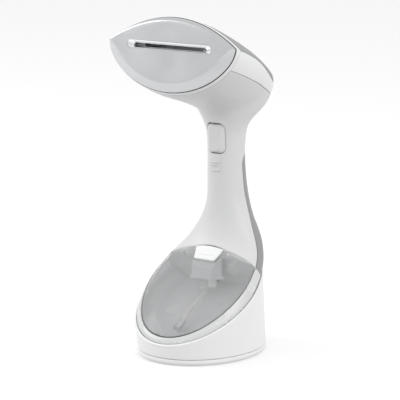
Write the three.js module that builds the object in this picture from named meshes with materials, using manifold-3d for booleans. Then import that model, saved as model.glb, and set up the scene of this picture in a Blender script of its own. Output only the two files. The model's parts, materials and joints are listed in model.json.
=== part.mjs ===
// Handheld garment steamer resting on its stand.
// Millimetres, +Z up. The steam plate faces -Y and the object is symmetric in X.
// Origin: on the standing surface, below the centre of the stand's tilted opening.
import * as THREE from "three";
import { mergeVertices } from "three/addons/utils/BufferGeometryUtils.js";
import Module from "manifold-3d";

const wasm = await Module();
wasm.setup();

// ---------------------------------------------------------------- driving dimensions
const WALL = 2.2; // casing thickness
const GAP = 0.3; // play between neighbouring pieces
const RING_POINTS = 24; // corners round one casing section
const SKIN_STEP = 1; // sections from one casing ring to the next
const REACH = 120; // half length of a cutting prism, past both sides

const RIM_TILT = (30 * Math.PI) / 180; // the stand's opening leans forward
const RIM_HEIGHT = 60.5; // its centre above the standing surface
const FOOT_HALF_WIDTH = 61.8; // the steamer's foot where it enters the stand
const FOOT_HALF_LENGTH = 77;
const DOCK_CLEARANCE = 0.4; // foot to stand

const STAND_RIM_WIDTH = 64.5; // outer half width of the stand's lip
const STAND_RIM_LENGTH = 80;
const STAND_BASE_WIDTH = 62; // outer half width at the base seam
const STAND_BASE_LENGTH = 73.7;
const STAND_BASE_SHIFT = 6.5; // the base oval sits a little to the rear
const STAND_SEAM = 6.8; // height of the seam between shell and base plate

const PAD_THICKNESS = 1.8;
const PLATE_PROUD = 6; // the steam plate's flat stands this far out of the bezel
const PLATE_BEVEL = 10; // width of the sloping border round that flat
const RECESS_HALF_LENGTH = 51; // the sloping recess round the steam slot
const RECESS_RADIUS = 4.3;
const RECESS_DEPTH = 2.6;
const SLOT_HALF_LENGTH = 44.5; // steam slot
const SLOT_RADIUS = 2.2;
const SLOT_UP = -3; // its middle, up from the line between the plate's tips

const TRIGGER_HALF_WIDTH = 10.2;
const TRIGGER_TOP = 234;
const TRIGGER_BOTTOM = 203.2;
const TRIGGER_AXIS = [36, 231]; // Y and Z of its pin
const SLIDER_STEM = [189, 197]; // heights of the lock slider's stem
const SLIDER_TRAVEL = 4;
const LATCH_AXIS = [16.4, 95.4]; // Y and Z of the latch pin

// The casing skin: one row per section, from the head's front to the underside of the foot.
// front Y, front Z, back Y, back Z, half width, place of the widest point (share from the
// front), then the roundness of the front and back arcs (2 is an ellipse, 1 a sharp-tipped lens).
const SKIN = [
  [-53.6, 274.5, -40.5, 350.4, 78.5, 0.645, 1.65, 1.0],
  [-38.0, 267.5, -21.0, 344.0, 77.5, 0.65, 1.7, 1.05],
  [-19.0, 261.5, 12.0, 328.0, 73.0, 0.67, 1.75, 1.2],
  [2.0, 254.5, 50.0, 309.0, 62.5, 0.67, 1.8, 1.4],
  [17.0, 247.5, 84.0, 285.0, 46.5, 0.76, 1.9, 1.7],
  [25.0, 239.5, 91.0, 261.0, 37.0, 0.66, 2, 2],
  [29.0, 225.0, 75.0, 235.0, 22.5, 0.52, 2, 2],
  [29.5, 208.0, 70.5, 210.0, 19.2, 0.5, 2, 2],
  [29.5, 180.0, 72.0, 181.0, 19.4, 0.5, 2, 2],
  [30.0, 152.0, 76.0, 155.0, 21.5, 0.5, 2, 2],
  [28.5, 128.0, 78.5, 137.0, 29.0, 0.4, 2, 2],
  [18.5, 104.0, 80.0, 127.0, 39.5, 0.34, 2, 2],
  [-8.0, 81.5, 80.0, 119.0, 50.5, 0.35, 2, 2],
  [-38.0, 56.0, 78.0, 112.0, 58.5, 0.4, 2, 2],
  [-58.5, 36.0, 74.5, 106.0, 61.5, 0.46, 2, 2],
  rimSection(0, FOOT_HALF_WIDTH, FOOT_HALF_LENGTH),
  rimSection(8, 57.5, 72),
  rimSection(15, 47, 60),
];
const RIM_SECTION = 15;
const LAST_SECTION = SKIN.length - 1;

// Parting lines of the casing, seen from the side as [Y, Z].
const CREASE = [[-60, 331], [-45.2, 323.5], [-27, 317.2], [1.8, 306.1], [34.2, 291], [68, 276.3], [110, 257]];
const BAND_SEAM = [[-60, 306.5], [-44, 301.3], [8, 284.8], [60, 268], [76, 259], [110, 242]];
const REAR_SEAM = [
  [24.3, 90], [33.5, 98.3], [44, 110], [50, 122.6], [54, 136], [55.5, 150], [54, 163],
  [52.5, 180], [52.5, 192.5], [58, 199], [68, 204], [110, 208],
];
const TANK_SEAM = [[21, 140], [21, 95.7], [24.3, 90], [80, -6.5]];
const FACE_EDGE = [[-90, 10.1], [40, 101.6]];

// ---------------------------------------------------------------- colours
const WHITE = [0xf2f2f3, 0.35, 0];
const PALE_GREY = [0xcfd0d2, 0.45, 0];
const MID_GREY = [0x9b9da1, 0.5, 0];
const STEEL = [0xc4c7ca, 0.3, 0.9];
const CHROME = [0xe6e8ea, 0.12, 1];
const CAST = [0xa7a9ab, 0.55, 0.8];
const SMOKE = [0x8d9093, 0.12, 0];
const FROSTED = [0xe4e6e8, 0.25, 0];
const DARK_RUBBER = [0x3a3b3d, 0.8, 0];
const SILICONE = [0xd9dad6, 0.6, 0];
const BRASS = [0xc8a45a, 0.35, 0.9];
const BOARD = [0x2f6b46, 0.6, 0];
const BLACK_PLASTIC = [0x2b2c2e, 0.55, 0];
const RETAINER = [0xb9babc, 0.6, 0];

// ---------------------------------------------------------------- sections and rings
// A section parallel to the stand's opening, the given depth below it.
function rimSection(depth, halfWidth, halfLength) {
  const y = depth * Math.sin(RIM_TILT);
  const z = RIM_HEIGHT - depth * Math.cos(RIM_TILT);
  const run = halfLength * Math.cos(RIM_TILT);
  const rise = halfLength * Math.sin(RIM_TILT);
  return [y - run, z - rise, y + run, z + rise, halfWidth, 0.5, 2, 2];
}

// The skin's section at place t, by Catmull-Rom between the rows and straight in front of row 0.
function skinSection(t) {
  const last = SKIN.length - 1;
  const i = Math.max(0, Math.min(last - 1, Math.floor(t)));
  const f = t - i;
  const at = SKIN[i];
  const next = SKIN[i + 1];
  if (t < 0) return at.map((a, k) => a + f * (next[k] - a));
  const before = i > 0 ? SKIN[i - 1] : at.map((a, k) => 2 * a - next[k]);
  const after = i + 2 <= last ? SKIN[i + 2] : next.map((a, k) => 2 * a - at[k]);
  return at.map((p1, k) => {
    const p0 = before[k];
    const p2 = next[k];
    const p3 = after[k];
    const bend = (2 * p0 - 5 * p1 + 4 * p2 - p3) * f * f;
    const turn = (-p0 + 3 * p1 - 3 * p2 + p3) * f * f * f;
    return 0.5 * (2 * p1 + (p2 - p0) * f + bend + turn);
  });
}

// The same section pulled in by inset all round, or by backInset at its back.
function insetSection([fy, fz, by, bz, width, ...shape], inset, backInset = inset) {
  const length = Math.hypot(by - fy, bz - fz);
  const y = (by - fy) / length;
  const z = (bz - fz) / length;
  return [fy + inset * y, fz + inset * z, by - backInset * y, bz - backInset * z, width - inset, ...shape];
}

// A section moved along its own normal, towards the rear of the head or the top of the foot.
function movedSection(section, distance) {
  const [fy, fz, by, bz, ...rest] = section;
  const length = Math.hypot(by - fy, bz - fz);
  const y = (distance * (bz - fz)) / length;
  const z = (-distance * (by - fy)) / length;
  return [fy + y, fz + z, by + y, bz + z, ...rest];
}

function sectionPoint([fy, fz, by, bz, width, widest, front, back], angle) {
  const s = Math.sin(angle);
  const share = s < 0 ? widest * (1 - Math.abs(s) ** (2 / front)) : widest + (1 - widest) * s ** (2 / back);
  return new THREE.Vector3(width * Math.cos(angle), fy + share * (by - fy), fz + share * (bz - fz));
}

function ring(section, count = RING_POINTS) {
  return Array.from({ length: count }, (_, i) => sectionPoint(section, (2 * Math.PI * i) / count));
}

// ---------------------------------------------------------------- solids
// A manifold-3d solid of a closed geometry, with its faces turned outwards.
function solidOf(geometry) {
  const plain = geometry.index ? geometry.toNonIndexed() : geometry.clone();
  plain.deleteAttribute("normal");
  plain.deleteAttribute("uv");
  const merged = mergeVertices(plain, 1e-4);
  const position = merged.attributes.position;
  const corners = [0, 1, 2].map(() => new THREE.Vector3());
  const faces = [];
  let volume = 0;
  for (let i = 0; i < merged.index.count; i += 3) {
    const face = [0, 1, 2].map((k) => merged.index.getX(i + k));
    if (new Set(face).size < 3) continue;
    corners.forEach((corner, k) => corner.fromBufferAttribute(position, face[k]));
    volume += corners[0].dot(corners[1].clone().cross(corners[2]));
    faces.push(face);
  }
  if (volume < 0) faces.forEach((face) => face.reverse());
  const mesh = new wasm.Mesh({
    numProp: 3,
    vertProperties: new Float32Array(position.array),
    triVerts: new Uint32Array(faces.flat()),
  });
  return new wasm.Manifold(mesh);
}

// A closed body through rings of equal count, with a fan over each end.
function solidThrough(rings) {
  const count = rings[0].length;
  const points = rings.flat();
  const faces = [];
  for (let r = 0; r + 1 < rings.length; r++) {
    for (let i = 0; i < count; i++) {
      const a = r * count + i;
      const b = r * count + ((i + 1) % count);
      faces.push(a, b, a + count, b, b + count, a + count);
    }
  }
  const addCap = (start, turned) => {
    const middle = new THREE.Vector3();
    for (let i = 0; i < count; i++) middle.addScaledVector(points[start + i], 1 / count);
    points.push(middle);
    for (let i = 0; i < count; i++) {
      const edge = [start + i, start + ((i + 1) % count)];
      if (turned) edge.reverse();
      faces.push(points.length - 1, edge[0], edge[1]);
    }
  };
  addCap(0, true);
  addCap((rings.length - 1) * count, false);
  const geometry = new THREE.BufferGeometry().setFromPoints(points);
  geometry.setIndex(faces);
  return solidOf(geometry);
}

const sectionsSolid = (sections, count) => solidThrough(sections.map((section) => ring(section, count)));

// A ring of the skin at place t, moved into the casing by inset along the surface's normal.
function skinRing(t, inset) {
  const step = 0.01;
  const here = ring(skinSection(t));
  if (inset === 0) return here;
  const before = ring(skinSection(t - step));
  const after = ring(skinSection(t + step));
  return here.map((point, i) => {
    const down = after[i].clone().sub(before[i]);
    const round = here[(i + 1) % RING_POINTS].clone().sub(here[(i + RING_POINTS - 1) % RING_POINTS]);
    return point.clone().addScaledVector(down.cross(round).normalize(), -inset);
  });
}

// The skin from place t0 to t1, pulled in by inset.
function skinSolid(t0, t1, inset) {
  const places = [t0];
  for (let t = Math.ceil((t0 + 0.1) / SKIN_STEP) * SKIN_STEP; t < t1 - 0.1; t += SKIN_STEP) places.push(t);
  places.push(t1);
  return solidThrough(places.map((t) => skinRing(t, inset)));
}

// A flat outline of [u, v] pairs, extruded by depth from origin along u x v.
function extruded(outline, depth, origin, u, v) {
  const shape = new THREE.Shape(outline.map(([a, b]) => new THREE.Vector2(a, b)));
  const geometry = new THREE.ExtrudeGeometry(shape, { depth, bevelEnabled: false });
  const along = new THREE.Vector3(...u);
  const up = new THREE.Vector3(...v);
  const frame = new THREE.Matrix4().makeBasis(along, up, along.clone().cross(up));
  geometry.applyMatrix4(frame.setPosition(...origin));
  return solidOf(geometry);
}

// A side-view outline of [Y, Z] pairs, extruded right through in X.
const sideCut = (outline, half = REACH) => extruded(outline, 2 * half, [-half, 0, 0], [0, 1, 0], [0, 0, 1]);

// A line, or a closed outline, moved to its left by distance, with mitred corners.
function movedLine(points, distance, closed = false) {
  const n = points.length;
  const normal = (a, b) => {
    const length = Math.hypot(b[0] - a[0], b[1] - a[1]);
    return [-(b[1] - a[1]) / length, (b[0] - a[0]) / length];
  };
  return points.map((p, i) => {
    const previous = i > 0 ? points[i - 1] : closed ? points[n - 1] : null;
    const following = i < n - 1 ? points[i + 1] : closed ? points[0] : null;
    const a = normal(previous ?? p, previous ? p : following);
    const b = normal(following ? p : previous, following ?? p);
    const scale = distance / (1 + a[0] * b[0] + a[1] * b[1]);
    return [p[0] + scale * (a[0] + b[0]), p[1] + scale * (a[1] + b[1])];
  });
}

// The side-view outline of one casing piece, trimmed by half the gap so that neighbours stay apart.
const region = (outline) => sideCut(movedLine(outline, GAP / 2, true));

// The main piece of a cut solid, without the crumbs left where a seam runs off a sharp edge.
function largestBody(solid) {
  return solid.decompose().reduce((a, b) => (a.volume() > b.volume() ? a : b));
}

function box(x0, x1, y0, y1, z0, z1) {
  const geometry = new THREE.BoxGeometry(x1 - x0, y1 - y0, z1 - z0);
  geometry.translate((x0 + x1) / 2, (y0 + y1) / 2, (z0 + z1) / 2);
  return solidOf(geometry);
}

// A turned body: profile of [radius, height] pairs, standing at origin along direction.
function turned(profile, origin, direction, sides = 16) {
  const points = profile.map(([radius, height]) => new THREE.Vector2(radius, height));
  const geometry = new THREE.LatheGeometry(points, sides);
  const axis = new THREE.Vector3(...direction).normalize();
  const turn = new THREE.Quaternion().setFromUnitVectors(new THREE.Vector3(0, 1, 0), axis);
  geometry.applyQuaternion(turn);
  geometry.translate(...origin);
  return solidOf(geometry);
}

const rod = (radius, length, origin, direction, sides = 12) =>
  turned([[0, 0], [radius, 0], [radius, length], [0, length]], origin, direction, sides);

function circle(radius, sides) {
  return Array.from({ length: sides }, (_, i) => {
    const angle = (2 * Math.PI * i) / sides;
    return new THREE.Vector2(radius * Math.cos(angle), radius * Math.sin(angle));
  });
}

// A round bar or hose along a smooth curve through points.
function along(curve, radius, steps, sides = 6) {
  const section = new THREE.Shape(circle(radius, sides));
  return solidOf(new THREE.ExtrudeGeometry(section, { steps, extrudePath: curve, bevelEnabled: false }));
}

const hose = (points, radius, steps) =>
  along(new THREE.CatmullRomCurve3(points.map((p) => new THREE.Vector3(...p))), radius, steps);

class Helix extends THREE.Curve {
  constructor(radius, length, turns) {
    super();
    Object.assign(this, { radius, length, turns });
  }
  getPoint(t, target = new THREE.Vector3()) {
    const angle = 2 * Math.PI * this.turns * t;
    return target.set(this.radius * Math.cos(angle), this.radius * Math.sin(angle), this.length * t);
  }
}

const coil = (radius, length, turns, wire) => along(new Helix(radius, length, turns), wire, turns * 8, 4);

function stadium(halfLength, radius, corners = 5) {
  const outline = [];
  for (const side of [1, -1]) {
    for (let i = 0; i <= corners; i++) {
      const angle = Math.PI * (i / corners - 0.5);
      const x = halfLength - radius + radius * Math.cos(angle);
      outline.push([side * x, side * radius * Math.sin(angle)]);
    }
  }
  return outline;
}

function roundedRect(halfWidth, bottom, top, bottomRadius, topRadius, corners = 4) {
  const outline = [];
  const addCorner = (x, z, radius, start) => {
    for (let i = 0; i <= corners; i++) {
      const angle = start + ((Math.PI / 2) * i) / corners;
      outline.push([x + radius * Math.cos(angle), z + radius * Math.sin(angle)]);
    }
  };
  addCorner(-halfWidth + bottomRadius, bottom + bottomRadius, bottomRadius, Math.PI);
  addCorner(halfWidth - bottomRadius, bottom + bottomRadius, bottomRadius, 1.5 * Math.PI);
  addCorner(halfWidth - topRadius, top - topRadius, topRadius, 0);
  addCorner(-halfWidth + topRadius, top - topRadius, topRadius, Math.PI / 2);
  return outline;
}

// ---------------------------------------------------------------- scene graph
const steamerOnStand = new THREE.Group();
const stand = new THREE.Group();
const steamer = new THREE.Group();
const tank = new THREE.Group();
steamerOnStand.add(stand, steamer);
steamer.add(tank);

function geometryOf(solid) {
  const { vertProperties, triVerts } = solid.getMesh();
  const geometry = new THREE.BufferGeometry();
  geometry.setAttribute("position", new THREE.Float32BufferAttribute(vertProperties, 3));
  geometry.setIndex(Array.from(triVerts));
  geometry.computeVertexNormals();
  return geometry;
}

function add(group, name, solid, [color, roughness, metalness]) {
  const material = new THREE.MeshStandardMaterial({ color, roughness, metalness });
  const mesh = new THREE.Mesh(geometryOf(solid), material);
  mesh.name = name;
  group.add(mesh);
  return mesh;
}

// ---------------------------------------------------------------- casing
const outerSkin = skinSolid(0, LAST_SECTION, 0);
const FLOOR_SECTION = LAST_SECTION - 0.06; // leaves the foot a floor as thick as the wall
const innerSkin = skinSolid(-0.3, FLOOR_SECTION, WALL);
const insideCasing = skinSolid(-0.3, FLOOR_SECTION, WALL + GAP);
const casing = outerSkin.subtract(innerSkin);

const headFront = SKIN[0];
const bezelBack = movedSection(headFront, 5);
const bezelLine = [
  [2 * bezelBack[0] - bezelBack[2], 2 * bezelBack[1] - bezelBack[3]],
  [2 * bezelBack[2] - bezelBack[0], 2 * bezelBack[3] - bezelBack[1]],
];

// The point of the bezel's rear plane at height z.
function onBezelLine(z) {
  const [[y0, z0], [y1, z1]] = bezelLine;
  return [y0 + ((z - z0) / (z1 - z0)) * (y1 - y0), z];
}

function bezel() {
  const [low, high] = bezelLine;
  return casing.intersect(region([low, [low[0] - 60, low[1]], [high[0] - 60, high[1]], high].reverse()));
}

function topInsert() {
  const crease = CREASE.slice(2);
  return casing.intersect(region([onBezelLine(320.9), ...crease, [110, 420], onBezelLine(420)]));
}

function headCover() {
  const upper = CREASE.slice(2).reverse();
  const cut = region([onBezelLine(300), ...BAND_SEAM.slice(2), ...upper, onBezelLine(320.9)]);
  return largestBody(casing.intersect(cut));
}

// The front half of a turned boss that takes a screw from behind.
function screwPillar(x, z, frontY, backY) {
  const pillar = rod(3.6, backY - frontY, [x, frontY, z], [0, 1, 0]);
  const bore = rod(1.3, 14, [x, backY - 13, z], [0, 1, 0]);
  return pillar.intersect(skinSolid(0, LAST_SECTION, 1)).subtract(bore);
}

const REAR_SCREWS = [
  { name: "rear_screw_top", x: 0, z: 172, frontY: 30.6, backY: 60, head: 67.5 },
  { name: "rear_screw_left", x: -20, z: 115, frontY: 24, backY: 60, head: 69 },
  { name: "rear_screw_right", x: 20, z: 115, frontY: 24, backY: 60, head: 69 },
];

const triggerOutline = (grow) =>
  roundedRect(TRIGGER_HALF_WIDTH + grow, TRIGGER_BOTTOM - grow, TRIGGER_TOP + grow, 7, 3.5);

function mainShell() {
  const outline = [
    [24.3, 90], [21, 95.7], [21, 118], [-120, 118], [-120, onBezelLine(230)[1]], onBezelLine(230),
    onBezelLine(300), ...BAND_SEAM.slice(2), ...REAR_SEAM.slice(1).reverse(),
  ].reverse();
  let shell = casing.intersect(region(outline));
  for (const { x, z, frontY, backY } of REAR_SCREWS) shell = shell.add(screwPillar(x, z, frontY, backY));
  const [pinY, pinZ] = TRIGGER_AXIS;
  for (const side of [-1, 1]) {
    const x = side * 13.4;
    const lug = box(x - 1.6, x + 1.6, pinY - 4, pinY + 4, pinZ - 3.5, pinZ + 3.5);
    shell = shell.add(lug.intersect(skinSolid(4, 9, 1)));
  }
  const pinBore = rod(1.5, 40, [-20, pinY, pinZ], [1, 0, 0]).intersect(box(-14.2, 14.2, 0, 60, 200, 260));
  const window = extruded(triggerOutline(0.6), 22, [0, 40, 0], [1, 0, 0], [0, 0, 1]);
  const slot = box(-2.7, 2.7, 20, 36, SLIDER_STEM[0] - SLIDER_TRAVEL - 0.6, SLIDER_STEM[1] + 0.6);
  return shell.subtract(pinBore).subtract(window).subtract(slot);
}

// The cord's entry, square to the rear cover's slope.
const GLAND_AXIS = [0, 0.92, -0.392];
const glandPoint = (out) => [0, 77.4 + out * GLAND_AXIS[1], 112.5 + out * GLAND_AXIS[2]];

function rearCover() {
  const outline = [[24.3, 90], ...REAR_SEAM.slice(1), [110, -20], [87.8, -20]];
  let cover = casing.intersect(region(outline.reverse()));
  const room = skinSolid(0, LAST_SECTION, 1);
  for (const { x, z, backY, head } of REAR_SCREWS) {
    cover = cover.add(rod(5, 40, [x, backY + GAP, z], [0, 1, 0]).intersect(room));
    cover = cover.subtract(rod(1.9, 40, [x, head - 30, z], [0, 1, 0]));
    cover = cover.subtract(rod(3.6, 20, [x, head, z], [0, 1, 0]));
  }
  return cover.subtract(rod(6.6, 20, glandPoint(-10), GLAND_AXIS, 20));
}

// A point of the sloping rear seam of the tank: x across, down the slope, out towards the casing.
const SEAM_OUT = [0, 0.866, 0.5];
const seamPoint = (x, down, out) => [x, 24.3 + 0.5 * down + 0.866 * out, 90 - 0.866 * down + 0.5 * out];
const PORT_DOWN = 19; // the water port, on the middle of the seam
const PLUG = { x: 27, down: 4, radius: 7 };

add(steamer, "plate_bezel", bezel(), WHITE);
add(steamer, "head_cover", headCover(), WHITE);
add(steamer, "top_insert", topInsert(), MID_GREY);
add(steamer, "main_shell", mainShell(), PALE_GREY);
add(steamer, "rear_cover", rearCover(), MID_GREY);

// The wall inside the foot that closes the casing behind the tank.
function bulkhead() {
  const front = movedLine(TANK_SEAM, GAP / 2);
  const back = movedLine(TANK_SEAM, GAP / 2 + 2);
  const wall = sideCut([...front, ...back.reverse()]).intersect(insideCasing);
  return wall.subtract(rod(5.3, 20, seamPoint(0, PORT_DOWN, -10), SEAM_OUT));
}
add(steamer, "foot_bulkhead", bulkhead(), PALE_GREY);

for (const { name, x, z, backY, head } of REAR_SCREWS) {
  const length = head - backY + 10;
  const profile = [
    [0, 0], [1, 0], [1, length], [3.2, length], [3.2, length + 1.6], [1, length + 1.6], [1, length + 0.9],
    [0, length + 0.9],
  ];
  add(steamer, name, turned(profile, [x, head - length + GAP, z], [0, 1, 0], 12), STEEL);
}

// ---------------------------------------------------------------- steam plate and steam block
const inPlane = new THREE.Vector3(0, headFront[2] - headFront[0], headFront[3] - headFront[1]).normalize();
const inward = new THREE.Vector3(0, inPlane.z, -inPlane.y);
const plateSection = (depth, inset, top) => insetSection(movedSection(headFront, depth), inset, top);

// A point of the plate's own frame: x across, up from the tips' line, depth behind the bezel's face.
const TIPS = [-45.2, 323.5];
function platePoint(x, up, depth) {
  return [x, TIPS[0] + up * inPlane.y + depth * inward.y, TIPS[1] + up * inPlane.z + depth * inward.z];
}

// A straight-sided slot through the plate, and the recess that narrows into it.
function slotCut(halfLength, radius, depth0, depth1) {
  const outline = stadium(halfLength, radius);
  return extruded(outline, depth1 - depth0, platePoint(0, SLOT_UP, depth1), [1, 0, 0], inPlane.toArray());
}

const recessHole = (grow) => slotCut(RECESS_HALF_LENGTH + grow, RECESS_RADIUS + grow, -20, 10);

function recessFunnel() {
  const slotRing = (halfLength, radius, depth) =>
    stadium(halfLength, radius).map(([x, up]) => new THREE.Vector3(...platePoint(x, SLOT_UP + up, depth)));
  return solidThrough([
    slotRing(RECESS_HALF_LENGTH - 1, RECESS_RADIUS - 1, -PLATE_PROUD - 0.1),
    slotRing(SLOT_HALF_LENGTH, SLOT_RADIUS, RECESS_DEPTH - PLATE_PROUD),
    slotRing(SLOT_HALF_LENGTH, SLOT_RADIUS, 10),
  ]);
}

// The plate overlaps the bezel's front edge. Its sloping border is wide below and steep along the top.
function steamPlate() {
  const sections = [
    plateSection(2.4, 3.6), plateSection(-0.5, 3.6), plateSection(-0.5, 0.8), plateSection(-1.6, 0.5),
    plateSection(-2.3, 1.4, 1), plateSection(-4.2, PLATE_BEVEL - 3, 2.6),
    plateSection(-5.6, PLATE_BEVEL + 2, 4.4), plateSection(-PLATE_PROUD, PLATE_BEVEL + 6, 7),
  ];
  return sectionsSolid(sections, 40).subtract(recessHole(0));
}

function lensRing(depth0, depth1, outer, inner) {
  const disc = sectionsSolid([plateSection(depth0, outer), plateSection(depth1, outer)]);
  return disc.subtract(sectionsSolid([plateSection(depth0 - 1, inner), plateSection(depth1 + 1, inner)]));
}

add(steamer, "steam_plate", steamPlate(), STEEL);
const linerBlock = recessHole(-GAP).intersect(slotCut(60, 10, -PLATE_PROUD, 2.8));
add(steamer, "slot_liner", linerBlock.subtract(recessFunnel()), CHROME);
add(steamer, "plate_gasket", lensRing(3.3, 5.2, 4.6, 8), DARK_RUBBER);
add(steamer, "head_frame", lensRing(5.6, 8, 7, 12.5), RETAINER);

// The element follows the block's lower edge and turns back at both ends into its terminals.
function elementCurve() {
  const track = plateSection(17, 19.5);
  const steps = 9;
  const points = [];
  for (let i = 0; i <= steps; i++) {
    points.push(sectionPoint(track, Math.PI * (1.055 + (0.89 * i) / steps)));
  }
  const terminal = (end) => end.clone().addScaledVector(inward, 14);
  return new THREE.CatmullRomCurve3([terminal(points[0]), ...points, terminal(points[steps])]);
}

function steamBlock() {
  let block = sectionsSolid([plateSection(3.4, 13.5), plateSection(17, 15)]);
  block = block.subtract(sectionsSolid([plateSection(8, 28), plateSection(30, 27)]));
  block = block.subtract(extruded(stadium(36, 2), 20, platePoint(0, -3, 12), [1, 0, 0], inPlane.toArray()));
  return block.subtract(along(elementCurve(), 3.5, 24));
}

add(steamer, "steam_block", steamBlock(), CAST);
add(steamer, "heating_element", along(elementCurve(), 3.1, 24), STEEL);

function blockCover() {
  const lid = sectionsSolid([plateSection(17.3, 24.5), plateSection(19.6, 24.5)]);
  const inlet = turned([[0, 0], [4, 0], [4, 6], [0, 6]], platePoint(0, -8, 19), inward.toArray(), 16);
  return lid.add(inlet).subtract(rod(2, 20, platePoint(0, -8, 14), inward.toArray()));
}
add(steamer, "block_cover", blockCover(), CAST);
add(steamer, "thermostat", rod(8, 6, platePoint(24, -8, 19.9), inward.toArray(), 24), BRASS);
add(steamer, "thermal_fuse", rod(2.2, 20, platePoint(-34, -8, 22.4), [1, 0, 0]), RETAINER);

// ---------------------------------------------------------------- handle: trigger, lock slider, switch
function trigger() {
  const faceAt = (y, inset) => {
    const [low, high] = [TRIGGER_BOTTOM + inset, TRIGGER_TOP - inset];
    const outline = roundedRect(TRIGGER_HALF_WIDTH - inset, low, high, 7 - inset / 2, 3.5);
    return outline.map(([x, z]) => new THREE.Vector3(x, y, z));
  };
  const block = solidThrough([faceAt(38, 0), faceAt(31.5, 0), faceAt(28.2, 2.4), faceAt(27.4, 4.2)]);
  const hollow = box(-7.6, 7.6, 31, 50, 206, 226.5);
  const post = rod(1.5, 5, [0, 30.5, 209], [0, 1, 0]);
  const bore = rod(1.5, 40, [-20, ...TRIGGER_AXIS], [1, 0, 0]);
  return block.subtract(hollow).add(post).subtract(bore);
}
add(steamer, "trigger", trigger(), PALE_GREY);
add(steamer, "trigger_pin", rod(1.2, 27.6, [-13.8, ...TRIGGER_AXIS], [1, 0, 0]), STEEL);

const triggerSpring = add(steamer, "trigger_spring", coil(2.6, 15, 6, 0.4), STEEL);
triggerSpring.position.set(0, 46.8, 209);
triggerSpring.rotation.x = Math.PI / 2;

function switchBracket() {
  const plate = box(-12, 12, 47.6, 49.6, 203, 228);
  return plate.add(rod(1.6, 4, [0, 44, 209], [0, 1, 0]));
}
add(steamer, "switch_bracket", switchBracket(), RETAINER);

function microswitch() {
  return box(-3.2, 3.2, 41.2, 47.3, 213.5, 226).add(box(-1.5, 1.5, 40, 42, 215, 218));
}
add(steamer, "microswitch", microswitch(), BLACK_PLASTIC);

function lockSlider() {
  const cap = skinSolid(6, 10, -1.4).subtract(skinSolid(5.5, 10.5, -GAP));
  const face = extruded(roundedRect(6.2, 184, 201.6, 1.5, 2.5), 20, [0, 40, 0], [1, 0, 0], [0, 0, 1]);
  let slider = cap.intersect(face);
  for (const z of [191, 194]) slider = slider.add(box(-5, 5, 27.2, 28.6, z - 0.6, z + 0.6));
  slider = slider.add(box(-2.2, 2.2, 28.6, 35, ...SLIDER_STEM));
  return slider.add(box(-6, 6, 33.6, 35.6, 187, 199));
}
add(steamer, "lock_slider", lockSlider(), PALE_GREY);

// ---------------------------------------------------------------- pump, hoses, electrics
const PUMP = [0, 54, 108]; // the foot of the pump's inlet
function pump() {
  const profile = [
    [0, 0], [3, 0], [3, 6], [9, 6], [9, 11], [11, 11], [11, 36], [9, 36], [9, 42], [3, 42], [3, 47], [0, 47],
  ];
  return turned(profile, PUMP, [0, 0, 1], 20);
}
add(steamer, "water_pump", pump(), BLACK_PLASTIC);

function pumpBracket() {
  const plate = box(-16, 16, 38.5, 69.5, 128.5, 131.5).intersect(insideCasing);
  return plate.subtract(rod(11.3, 20, [0, PUMP[1], 120], [0, 0, 1], 24));
}
add(steamer, "pump_bracket", pumpBracket(), RETAINER);

const inletEnd = platePoint(0, -8, 25.4);
add(
  steamer,
  "steam_hose",
  hose([
    [0, 54, 155.6], [0, 54, 159], [8.2, 55, 168], [9, 57, 180], [8.5, 59, 196], [7, 60, 215], [5, 57, 238],
    [3, 44, 262], [1, 20, 288], [0, inletEnd[1] + 12, inletEnd[2] - 2.1], inletEnd,
  ], 2.8, 30),
  SILICONE,
);
add(
  steamer,
  "suction_hose",
  hose([seamPoint(0, PORT_DOWN, 9.6), [0, 46, 80.6], [0, 53, 88], [0, 54, 98], [0, 54, 107.6]], 2.5, 14),
  SILICONE,
);

// A port of the casing, pressed face to face against the tank's outlet.
function portSeat() {
  const profile = [[2.2, 0], [5, 0], [5, 4], [3.4, 5], [3.4, 9], [2.2, 9], [2.2, 0]];
  return turned(profile, seamPoint(0, PORT_DOWN, GAP / 2), SEAM_OUT);
}
add(steamer, "port_seat", portSeat(), DARK_RUBBER);

add(steamer, "control_board", box(-34, -12, 44, 45.6, 84, 106), BOARD);
add(steamer, "terminal_block", box(8, 26, 43, 52, 88, 98), BLACK_PLASTIC);

function cordGland() {
  const profile = [
    [3.6, 0], [9, 0], [9, 1.4], [6.2, 1.4], [6.2, 6.2], [8, 6.2], [8, 7.6], [5, 8.8], [3.6, 8.8], [3.6, 0],
  ];
  return turned(profile, glandPoint(-5.2), GLAND_AXIS, 20);
}
add(steamer, "cord_gland", cordGland(), DARK_RUBBER);

// ---------------------------------------------------------------- water tank
const SEAL_HEIGHT = 1; // the seal strip between the window and the bowl
const faceUpper = movedLine(FACE_EDGE, SEAL_HEIGHT / 2 + GAP);
const faceLower = movedLine(FACE_EDGE, -SEAL_HEIGHT / 2 - GAP);
const aboveFace = sideCut([...faceUpper, [40, 140], [-90, 140]]);
const belowFace = sideCut([...faceLower.reverse(), [-90, -20], [120, -20]]);
const aheadOfSeam = sideCut([...movedLine(TANK_SEAM, -GAP / 2), [-120, -6.5], [-120, 140]]);

// The latch's outline on the slope of the tank: u is X, v runs up the slope.
const LATCH_FOOT = [9, 94.4];
const SLOPE = [0, 0.762, 0.647];
const SLOPE_OUT = [0, -0.647, 0.762];
function latchOutline(grow) {
  const lower = 12.3 + grow;
  const upper = 18.8 + grow;
  return [[-lower, -grow], [lower, -grow], [upper, 22], [-upper, 22]];
}
function latchPrism(grow) {
  const start = [0, LATCH_FOOT[0] - 14 * SLOPE_OUT[1], LATCH_FOOT[1] - 14 * SLOPE_OUT[2]];
  return extruded(latchOutline(grow), 28, start, [1, 0, 0], SLOPE);
}

function tankWindow() {
  return casing.intersect(aheadOfSeam).intersect(aboveFace).subtract(latchPrism(0.5));
}

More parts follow.
